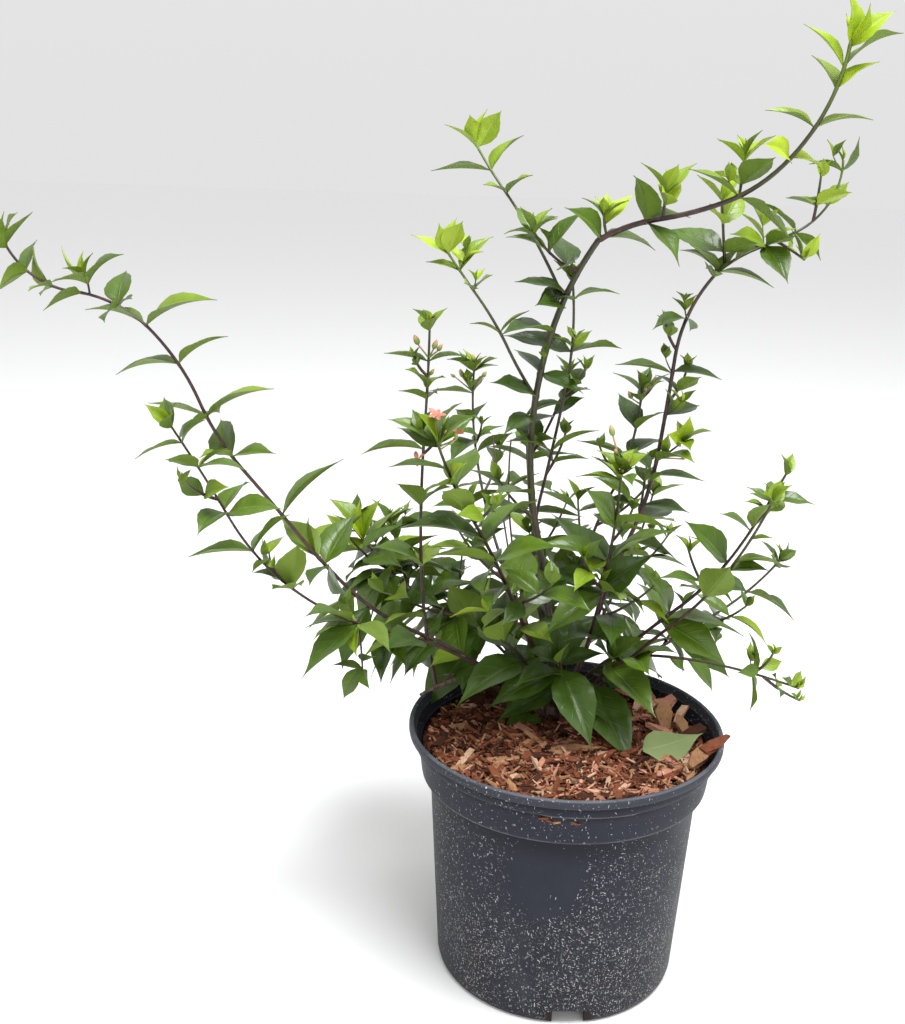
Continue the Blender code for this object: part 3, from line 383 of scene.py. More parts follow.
# Radius and height in mm, and how much of the band's drop each ring follows
POT_PROFILE = (
    (0, 0, 0), (46, 0, 0), (48, 0.3, 0), (49, 8, 0), (69.2, 8, 0), (69.6, 7.6, 0), (69.6, 0.5, 0),
    (70.1, 0, 0), (71.4, 0, 0), (72.6, 0.5, 0), (73.4, 1.6, 0), (74.2, 4.5, 0), (75.1, 20, 0),
    (76.3, 40, 0), (77.6, 62, 0), (78.9, 84, 0), (80.2, 106, 0), (81.3, 125.6, 0), (81.7, 126.5, 0),
    (84.6, 127.2, 0), (86.0, 127.8, 0), (86.6, 128.6, 0), (86.9, 130, 0), (88.0, 139, 0.1),
    (88.9, 146.2, 1), (89.1, 146.9, 1), (90.8, 147.3, 1), (91.3, 147.8, 1), (91.6, 149.5, 0.6),
    (91.9, 152.6, 0), (92.1, 153.4, 0), (94.2, 153.9, 0), (94.8, 154.4, 0), (95, 155.4, 0), (95, 157.6, 0),
    (94.7, 158.5, 0), (94.1, 159.1, 0), (93.2, 159.2, 0), (92.4, 158.9, 0), (91.9, 158, 0),
    (91.4, 155.6, 0), (90.3, 153.2, 0), (87.5, 148.4, 0), (86.4, 139, 0), (85.3, 130.1, 0),
    (84.2, 128.9, 0), (80.0, 128.1, 0), (79.4, 120, 0), (76.9, 70, 0), (73.4, 9.8, 0), (47.6, 9.6, 0),
    (46.2, 1.6, 0), (0, 1.6, 0),
)


def ring_angles(count):
    return np.arange(count) * 2 * np.pi / count


def lathe(profile, segments):
    """Spins a profile whose first and last points are on the axis."""
    angles = ring_angles(segments)
    sector, half = math.radians(BAND_SECTOR[0]), math.radians(BAND_SECTOR[1])
    away = np.abs((angles - sector + np.pi) % (2 * np.pi) - np.pi)
    dropped = np.clip((half + BAND_EASE - away) / (2 * BAND_EASE), 0, 1)
    rings = []
    for radius, height, follows in profile[1:-1]:
        heights = height - BAND_DROP * follows * dropped
        rings.append(np.stack([radius * np.cos(angles), radius * np.sin(angles), heights], -1))
    centres = [(0, 0, profile[0][1] * MM), (0, 0, profile[-1][1] * MM)]
    points = centres + (np.concatenate(rings) * MM).tolist()
    faces = (grid_faces(len(rings), segments, closed=True) + 2).tolist()
    last = 2 + (len(rings) - 1) * segments
    for s in range(segments):
        following = (s + 1) % segments
        faces.append((0, 2 + following, 2 + s))
        faces.append((1, last + s, last + following))
    return points, faces


points, faces = lathe(POT_PROFILE, POT_SEGMENTS)
pot_mesh = bpy.data.meshes.new("nursery_pot")
pot_mesh.from_pydata(points, [], faces)
pot_mesh.shade_smooth()
pot = dress("nursery_pot", pot_mesh, ["pot"])

# %% [markdown]
# Water drains through three notches in the foot ring, each inside a wider, shallow recess. A
# Boolean modifier cuts them from the lathed skin, and its result becomes the pot's mesh.

# %% Drainage notches
NOTCH_TURNS = (279, 399, 519)
SHARP_ANGLE = math.radians(50)
# Inner and outer reach, width and height in mm
CUTS = {"notch": (66, 79, 19, 9.2), "recess": (72.2, 79, 34, 8)}


def box_cutter(name, holder, azimuth, inner, outer, width, tall):
    bm = bmesh.new()
    bmesh.ops.create_cube(bm, size=1.0)
    size = Matrix.Diagonal(((outer - inner) * MM, width * MM, 2 * tall * MM, 1.0))
    turned = Matrix.Rotation(math.radians(azimuth), 4, "Z")
    place = turned @ Matrix.Translation(((inner + outer) / 2 * MM, 0, 0))
    bmesh.ops.transform(bm, matrix=place @ size, verts=bm.verts)
    mesh = bpy.data.meshes.new(name)
    bm.to_mesh(mesh)
    bm.free()
    holder.objects.link(bpy.data.objects.new(name, mesh))


def cut(piece, cutters):
    """Cuts a collection of shapes out of a piece and removes them."""
    change = piece.modifiers.new("cut", "BOOLEAN")
    change.operation, change.operand_type, change.collection = "DIFFERENCE", "COLLECTION", cutters
    graph = bpy.context.evaluated_depsgraph_get()
    mesh = bpy.data.meshes.new_from_object(piece.evaluated_get(graph), depsgraph=graph)
    piece.modifiers.clear()
    piece.data = mesh
    for other in list(cutters.objects):
        bpy.data.objects.remove(other)
    bpy.data.collections.remove(cutters)


cutters = bpy.data.collections.new("notches")
bpy.context.scene.collection.children.link(cutters)
for turn in NOTCH_TURNS:
    for kind, sizes in CUTS.items():
        box_cutter(kind, cutters, turn, *sizes)
cut(pot, cutters)
pot.data.set_sharp_from_angle(angle=SHARP_ANGLE)
print("pot with its notches:", len(pot.data.polygons), "faces")

# %% [markdown]
# ## Pot plastic
#
# The plastic is a charcoal grey with a little blue. Hard water has dried on it in white specks
# and short streaks. Each kind of speck is the middle of a Voronoi cell, kept only in some
# cells. Cells stretched one way give streaks, and a noise added to the place makes them ragged.

# %% Specks
plastic = Sheet("charcoal plastic", specular_ior_level=0.13)
where = plastic.place()
across, deep, height = plastic.split(where)
wobble = plastic.node("ShaderNodeTexNoise", None, {"Vector": where, "Scale": 420.0}, output="Color")
wobble = plastic.node("ShaderNodeVectorMath", {"operation": "SCALE"}, {0: wobble, "Scale": 0.0016})
moved = plastic.node("ShaderNodeVectorMath", {"operation": "ADD"}, {0: where, 1: wobble})


def specks(sheet, vector, scale, size, share):
    """Dots in the middle of Voronoi cells, in only a share of the cells and some fainter."""
    inputs = {"Vector": vector, "Scale": scale}
    distance = sheet.node("ShaderNodeTexVoronoi", None, inputs)
    chance, strength, _ = sheet.split(sheet.node("ShaderNodeTexVoronoi", None, inputs, output="Color"))
    return distance.ramp(size, size * 0.5) * (chance < share) * strength.ramp(0.1, 0.85, 0.25, 1.2)


print("speck rule ready,", len(plastic.tree.nodes), "nodes so far")

# %% [markdown]
# The specks are thickest low down and in clouds, fewer above the collar's step and towards the
# sides, and there are almost none in a smooth oval patch at the upper front. All of that is one
# amount, which sets the share of the cells that show for each of five kinds of speck.

# %% Limescale
# Heights in metres: full at 25 mm and below, thinner from there to the collar, thinnest above it
low = height.ramp(0.108, 0.025, 0.6, 1.0) * height.ramp(0.110, 0.124, 1.0, 0.35)
crowd = plastic.noise(where, 24.0, 3.0).ramp(0.34, 0.58, 0.7, 1.25)
# The smooth oval: its middle is 6 mm left of the axis and 100 mm up, on the front only
smooth = ((across + 0.006) / 0.024) ** 2.0 + ((height - 0.100) / 0.030) ** 2.0
smooth = smooth + deep.ramp(-0.06, -0.02, 0.0, 3.0)
patch = smooth.ramp(0.5, 1.4, 0.03, 1.0) * plastic.noise(where, 12.0, 1.0).ramp(0.38, 0.5, 0.5, 1.0)
# Towards the pot's left and right sides: fewer specks, and painted shade in the body's colour
edge = abs(across).ramp(0.045, 0.083)
amount = low * crowd * patch * (1.0 - edge * 0.3)
# Round dots, fine dots, upright streaks, level streaks and slanting ones
dots = specks(plastic, moved, 560.0, 0.2, amount * 0.3)
fine = specks(plastic, moved, 1400.0, 0.34, amount * 0.6)
tall = specks(plastic, plastic.stretch(moved, (1.0, 1.0, 0.2)), 1050.0, 0.26, amount)
flat = specks(plastic, plastic.stretch(moved, (0.26, 0.26, 1.0)), 1050.0, 0.24, amount * 0.75)
slant = plastic.node("ShaderNodeVectorRotate", {"rotation_type": "Y_AXIS"}, {"Vector": moved, "Angle": 0.9})
slanted = specks(plastic, plastic.stretch(slant, (1.0, 1.0, 0.2)), 1050.0, 0.25, amount * 0.9)
lime = (dots + fine * 0.5 + tall + flat + slanted).ramp(0.0, 1.0)
print("limescale:", len(plastic.tree.nodes), "nodes so far")

# %% [markdown]
# Below the specks the body is cloudy, chalky near the floor and, as painted shade, darker towards
# the sides. Painted shade darkens a band below the wide step and two bands under the collar's
# steps, and a painted highlight pales the lip above them. Dirt and painted shade darken the foot
# ring and its recesses, and every edge that hands and other pots rub against is a little pale, from
# wear and from a painted highlight.

# %% Body, wear and painted light
# Heights of the pale edges, worn and with a painted highlight, and how far the pale line reaches, in metres
EDGES_WORN_AND_HIGHLIT = ((0.1589, 0.0007), (0.1536, 0.0005), (0.1474, 0.0005), (0.1284, 0.0008))
cloud = plastic.noise(where, 60.0, 4.0)
chalk = height.ramp(0.11, 0.0) * cloud.ramp(0.35, 0.75)
body = plastic.mix(cloud, (0.014, 0.0155, 0.025), (0.021, 0.0225, 0.035))
body = plastic.mix(chalk * 0.5, body, (0.070, 0.069, 0.072))
body = plastic.mix(amount * 0.6, body, (0.012, 0.012, 0.0145))
# Painted shade: the body is darker towards the pot's left and right sides
body = plastic.mix(edge * 0.45, body, (0.007, 0.0075, 0.010))
# Painted shade: a band below the wide step, and bands below the two steps of the collar
shade_below_collar = height.ramp(0.108, 0.1255) * height.ramp(0.1266, 0.1264)
shade = height.ramp(0.1485, 0.1525) * height.ramp(0.1537, 0.1534)
shade = shade + height.ramp(0.1415, 0.1462) * height.ramp(0.1470, 0.1467)
body = plastic.mix((shade_below_collar + shade) * 0.8, body, (0.005, 0.0055, 0.008))
# Painted highlight: the lip above the shaded bands is paler
body = plastic.mix(height.ramp(0.1538, 0.1544) * 0.45, body, (0.050, 0.054, 0.064))
# Dirt and painted shade: darker and browner in the foot ring and its recesses
radius = (across * across + deep * deep) ** 0.5
recess_dirt_and_shade = radius.ramp(0.0739, 0.0731) * height.ramp(0.0096, 0.0088)
body = plastic.mix(recess_dirt_and_shade * 0.85, body, (0.018, 0.012, 0.008))
# Pale lines along the edges: wear, and a painted highlight
for rim, reach in EDGES_WORN_AND_HIGHLIT:
    wear_and_highlight = abs(height - rim).ramp(reach, reach * 0.3) * cloud.ramp(0.3, 0.6, 0.35, 1.0)
    body = plastic.mix(wear_and_highlight * 0.5, body, (0.13, 0.135, 0.15))
plastic.set(base_color=plastic.mix(lime * (1.0 - recess_dirt_and_shade) * 0.9, body, (0.51, 0.505, 0.515)))
plastic.set(roughness=(cloud * 0.18 + 0.42) + lime * 0.3)
plastic.bump(plastic.noise(where, 900.0) * 0.4 + plastic.noise(where, 45.0) * 3.0 + lime, 0.00012)
pot.data.materials.clear()
pot.data.materials.append(plastic.material)
print("pot plastic:", len(plastic.tree.nodes), "nodes")

# %% [markdown]
# ## Bark mulch
#
# The mulch is a low mound that falls a little towards the front and is bumpy except round the
# stems. A sum of sine waves gives that height, and a grid of rings is lifted to it. This dark
# bed lies just below the chips and closes the gaps between them.

# %% Mulch bed
MULCH_HEIGHT, MULCH_MOUND, MULCH_FALL, MULCH_BUMP, COLLAR_TOP = 146.0, 3.5, 3.0, 1.3, 89.0
CROWN_X, CROWN_Y, CROWN_CLEAR = -6.0, 30.0, 24
CROWN = Vector((CROWN_X, CROWN_Y, 0.0)) * MM
# The pot's inner wall in mm: how far out at its foot, the heights it spans and how much it leans
WALL_REACH, WALL_FOOT, WALL_TOP, WALL_SLOPE, WALL_GAP = 85.0, 130.1, 153.0, 0.12, 0.5
BED_RINGS, BED_SPOKES, BED_ROUGH, BED_SUNK = 44, 128, 0.55, 0.8
SKIRT_FOOT, SKIRT_SHARE = 128.0, 0.98


def bed_height(x, y):
    """Height of the mulch in mm at a place in mm, by the same sum as the solid's."""
    share = np.minimum(1.0, np.hypot(x, y) / COLLAR_TOP)
    bump = np.sin(x / 9) * np.cos(y / 11) + 0.6 * np.sin((x + 2 * y) / 17)
    near_crown = np.exp(-(((x - CROWN_X) ** 2 + (y - CROWN_Y) ** 2) / CROWN_CLEAR**2))
    rough = MULCH_BUMP * bump * (1 - near_crown) * (1 - share**4)
    return MULCH_HEIGHT + MULCH_MOUND * (1 - share**2) - MULCH_FALL * y / COLLAR_TOP + rough


def wall_reach(height):
    """How far out the mulch may lie at a height, clear of the pot's inner wall."""
    return WALL_REACH + (np.clip(height, WALL_FOOT, WALL_TOP) - WALL_FOOT) * WALL_SLOPE - WALL_GAP


rng = np.random.default_rng(SEED)
angles = ring_angles(BED_SPOKES)
rings = []
for ring in range(BED_RINGS):
    x, y = np.cos(angles), np.sin(angles)
    reach = wall_reach(bed_height(x * COLLAR_TOP, y * COLLAR_TOP)) * (1 - ring / BED_RINGS)
    heights = bed_height(x * reach, y * reach) + rng.normal(0, BED_ROUGH, BED_SPOKES) - BED_SUNK
    rings.append(np.stack([x * reach, y * reach, heights], -1))
skirt = rings[0] * (SKIRT_SHARE, SKIRT_SHARE, 0) + (0, 0, SKIRT_FOOT)
bed = Heap()
bed_points = np.concatenate([skirt, *rings]) * MM
bed_faces = grid_faces(BED_RINGS + 1, BED_SPOKES, closed=True)
bed.add(bed_points, bed_faces, bed_points[:, :2] * 10, 0)
print("mulch bed:", len(bed_points), "points")

# %% [markdown]
# Shredded bark comes in many sizes: a few thumb-sized chunks, hundreds of splinters and
# thousands of crumbs. They are strewn by a seeded rule, lie roughly level and keep clear of the
# pot's wall. The chips that catch the eye in the photograph are listed one by one among them.

# %% Kinds of chips
# Length, width and thickness ranges in mm, how far a chip may tilt, and how many there are
CHIP_KINDS = (
    ((2.5, 8.0), (0.5, 1.3), (0.4, 0.8), 0.55, 4600),
    ((6.0, 13.0), (1.4, 3.6), (0.7, 1.5), 0.42, 1000),
    ((12.0, 20.0), (3.0, 7.0), (1.4, 3.0), 0.3, 90),
)
# The chips that catch the eye: place in mm, length, width, thickness, heading, pitch, finish
NAMED_CHIPS = (
    (61, 33, 150.5, 21, 11, 8.5, 98, 34, 1),
    (50, 62, 153, 17, 8, 6.0, 150, 22, 2),
    (56, 50, 151, 16, 7, 4.0, 30, 12, 2),
    (72, 40, 150, 15, 5, 3.0, 60, 26, 4),
    (77, 8, 153.5, 18, 9, 3.2, 35, 16, 3),
    (73, -4, 151, 22, 6, 3.5, 70, 8, 2),
    (70, -16, 150, 18, 7, 3.0, 110, 6, 4),
    (1, -20, 150.5, 44, 3.6, 2.6, 12, 2, 1),
    (-38, -8, 150, 28, 4.0, 2.6, 8, 4, 1),
    (-10, -26, 150, 26, 3.4, 2.0, 172, 3, 1),
    (43, -50, 149.5, 17, 8, 3.4, 120, 16, 3),
    (58, -38, 149.5, 16, 6, 3.0, 20, 10, 2),
    (-30, -56, 149, 17, 7, 2.6, 15, 6, 4),
    (-56, -38, 149, 13, 7, 2.6, 60, 8, 1),
    (20, -64, 149, 16, 5, 2.4, 170, 6, 2),
    (-4, -68, 149, 18, 6, 2.4, 12, 4, 4),
    (-60, 40, 150, 16, 8, 4.0, 20, 12, 3),
    (-46, 54, 151, 18, 9, 5.0, 150, 16, 3),
    (40, 66, 152.5, 17, 8, 4.5, 165, 16, 2),
    (63, 50, 152.5, 16, 9, 4.0, 40, 20, 2),
    (72, 22, 152, 17, 7, 3.5, 100, 12, 1),
    (46, 50, 152, 20, 6, 3.0, 75, 10, 4),
    (58, 14, 151.5, 18, 7, 3.0, 150, 8, 2),
    (89, -15.5, 160.4, 20, 8, 2.2, 40, 13, 0),
    (79, -24, 154, 18, 9, 4.0, 55, 20, 1),
    # Crumbs that cling below the step of the collar
    (-8.5, -89.2, 144.8, 6, 1.6, 1.3, 5, 6, 0),
    (-5.5, -89.4, 143.4, 4, 1.3, 1.2, 170, 10, 0),
    (-1.5, -89.6, 143.2, 4, 1.4, 1.2, 10, 8, 1),
    (7.6, -89.2, 143.5, 4.5, 1.4, 1.2, 176, 12, 0),
    (10.0, -89.0, 142.8, 3, 1.2, 1.0, 20, 0, 0),
)
# The farthest that a chip's middle and its end may lie from the axis, in mm
STREW_REACH, END_REACH = 84.0, 83.5
# Shares of the five finishes in the lit part of the bed and in the part painted in shade
LIT_SHARES = np.array((0.42, 0.19, 0.15, 0.16, 0.08))
DARK_SHARES = np.array((0.4, 0.17, 0.04, 0.36, 0.03))
print("chips:", sum(kind[-1] for kind in CHIP_KINDS), "by rule and", len(NAMED_CHIPS), "by hand")

# %% [markdown]
# A chip is a small bent slab of ten faces: three cross-sections with drawn-in, ragged ends. One
# array holds its twelve corners, and a single turn matrix lays it in its place.

# %% Strew the chips
def chip(length, width, thick, turns, place, rng):
    """Three cross-sections of four corners each, with ragged ends and a slight bend."""
    along = np.repeat([-0.5, rng.uniform(-0.15, 0.15), 0.5], 4)
    corner = np.tile([[-0.5, -0.5], [0.5, -0.5], [0.5, 0.5], [-0.5, 0.5]], (3, 1))
    taper = np.repeat([rng.uniform(0.35, 0.9), 1.0, rng.uniform(0.25, 0.85)], 4)
    across = corner[:, 0] * taper + rng.uniform(-0.09, 0.09, 12)
    up = corner[:, 1] * (0.55 + 0.45 * taper)
    bend = rng.uniform(-0.06, 0.06) * (1 - 4 * along**2)
    shift = rng.uniform(-0.07, 0.07, 12) * (np.abs(along) > 0.4)
    local = np.stack([(along + shift) * length, across * width, up * thick + bend * length], -1)
    heading, pitch, roll = turns
    turn = Matrix.Rotation(heading, 3, "Z") @ Matrix.Rotation(-pitch, 3, "Y")
    turn = turn @ Matrix.Rotation(roll, 3, "X")
    points = local @ np.array(turn).T + place
    ends = np.array([[3, 2, 1, 0], [8, 9, 10, 11]])
    sides = grid_faces(3, 4, closed=True)
    grain = rng.uniform(0, 9)
    around = corner[:, 0] * width * 0.2 + corner[:, 1] * 0.1 + grain
    places = np.stack([along * length * 0.1 + grain, around], -1)
    return points * MM, np.concatenate([sides, ends]), places


def darkness(x, y):
    """Near one at the back left of the bed, where the chips are painted in shade."""
    return 1 / (1 + math.exp((x + 1.4 * (-y - 10)) / 22))


chips = Heap()
for lengths, widths, thicknesses, tilt, count in CHIP_KINDS:
    for _ in range(count):
        size = rng.uniform(*lengths), rng.uniform(*widths), rng.uniform(*thicknesses)
        radius = STREW_REACH * math.sqrt(rng.uniform(0.003, 1))
        azimuth, heading = rng.uniform(0, 2 * math.pi), rng.uniform(0, 2 * math.pi)
        pitch, roll = rng.normal(0, tilt * 0.6), rng.normal(0, tilt)
        radius = min(radius, END_REACH - abs(math.cos(heading - azimuth)) * size[0] / 2)
        x, y = radius * math.cos(azimuth), radius * math.sin(azimuth)
        lift = abs(math.sin(pitch)) * size[0] * 0.35 + rng.uniform(-0.2, 1.6)
        place = (x, y, bed_height(x, y) + lift)
        # Painted shade: towards the back left the darker finishes are dealt out more often
        dark = darkness(x, y)
        slot = rng.choice(5, p=LIT_SHARES * (1 - dark) + DARK_SHARES * dark)
        chips.add(*chip(*size, (heading, pitch, roll), place, rng), slot)
for x, y, z, length, width, thick, heading, pitch, slot in NAMED_CHIPS:
    turns = (math.radians(heading), math.radians(pitch), 0.1)
    chips.add(*chip(length, width, thick, turns, (x, y, z), rng), slot)
print("chips strewn:", len(chips.points))

# %% [markdown]
# Bark shows three things close up: long grain, torn fibres and a colour that differs from chip
# to chip. The grain is a noise stretched along each chip's own length, which its UV place
# gives, and five plain colours are dealt out to the chips.

# %% Mulch materials
def chip_sheet(name, dark, light):
    sheet = Sheet(name, roughness=0.85, specular_ior_level=0.135)
    along = sheet.place("UV")
    grain = sheet.noise(sheet.stretch(along, (1.5, 12.0, 1.0)), 2.2, 5.0, 0.65)
    stain = sheet.noise(sheet.place(), 210.0, 2.0)
    sheet.set(base_color=sheet.mix(grain.ramp(0.28, 0.7) * (stain * 0.7 + 0.5), dark, light))
    sheet.bump(grain, 0.0004)
    return sheet


chip_sheets = [
    chip_sheet("red-brown bark", (0.055, 0.013, 0.005), (0.30, 0.10, 0.050)),
    chip_sheet("tan bark", (0.15, 0.065, 0.028), (0.50, 0.28, 0.145)),
    chip_sheet("pinkish bark", (0.22, 0.075, 0.044), (0.66, 0.33, 0.23)),
    chip_sheet("dark bark", (0.014, 0.005, 0.003), (0.09, 0.034, 0.019)),
    chip_sheet("pale splinters", (0.32, 0.17, 0.10), (0.72, 0.48, 0.33)),
]
bed_sheet = Sheet("mulch bed", roughness=0.95, specular_ior_level=0.13)
clumps = bed_sheet.noise(bed_sheet.place(), 320.0, 5.0, 0.7)
bed_sheet.set(base_color=bed_sheet.mix(clumps.ramp(0.35, 0.7), (0.010, 0.005, 0.003), (0.12, 0.038, 0.019)))
bed_sheet.bump(clumps, 0.0012)
bed.build("mulch_bed", [bed_sheet], ["bark_mulch"], "mulch")
mulch = chips.build("mulch_chips", chip_sheets, ["bark_mulch"], "mulch")
mulch.data.shade_flat()

# %% [markdown]
# ## How the plant grows
#
# Each stem is described by a few plain sizes: the way it heads over the ground, its length and
# its leans from upright at equal steps. Turning those into a curve is a matter of walking along
# it in short steps. The table follows the solids, with some canes fitted to the photograph once
# more by a few millimetres, and all that follows is grown on those limbs.

# %% What a stem is
Seat = namedtuple("Seat", "azimuth out height")
Pairs = namedtuple("Pairs", "first gaps sizes turn spread lift", defaults=(12.0,))
Side = namedtuple("Side", "at turn length leans size")
Blade = namedtuple("Blade", "at heading lift length")
STEM_FIELDS = "heading length leans thick solids root pairs sides blades"
Stem = namedtuple("Stem", STEM_FIELDS, defaults=(None, (), ()))
# How far out and how high the canes leave the crown: a lower ring of seats and an upper one
LOW_SEAT, HIGH_SEAT = (10.0 * MM, 151.0 * MM), (5.5 * MM, 157.0 * MM)


def low_seat(azimuth):
    return Seat(azimuth, *LOW_SEAT)


def high_seat(azimuth):
    return Seat(azimuth, *HIGH_SEAT)


print("a stem is told by:", STEM_FIELDS)

# %% [markdown]
# A stem's row tells its heading, its length in mm, its leans in degrees, how thick it is at its
# foot and its tip in mm, its solids with the share of its length where each ends, and its root:
# a seat on the root crown, or a place on another stem. Its leaves follow: the place of the first
# pair, the gaps and leaf sizes from foot to tip in mm, and how the pairs are turned, spread and
# lifted, by 12 degrees where nothing else is said. Then come its side shoots (place, turn,
# length, leans, leaf size) and single large leaves (place, heading, lift, length).

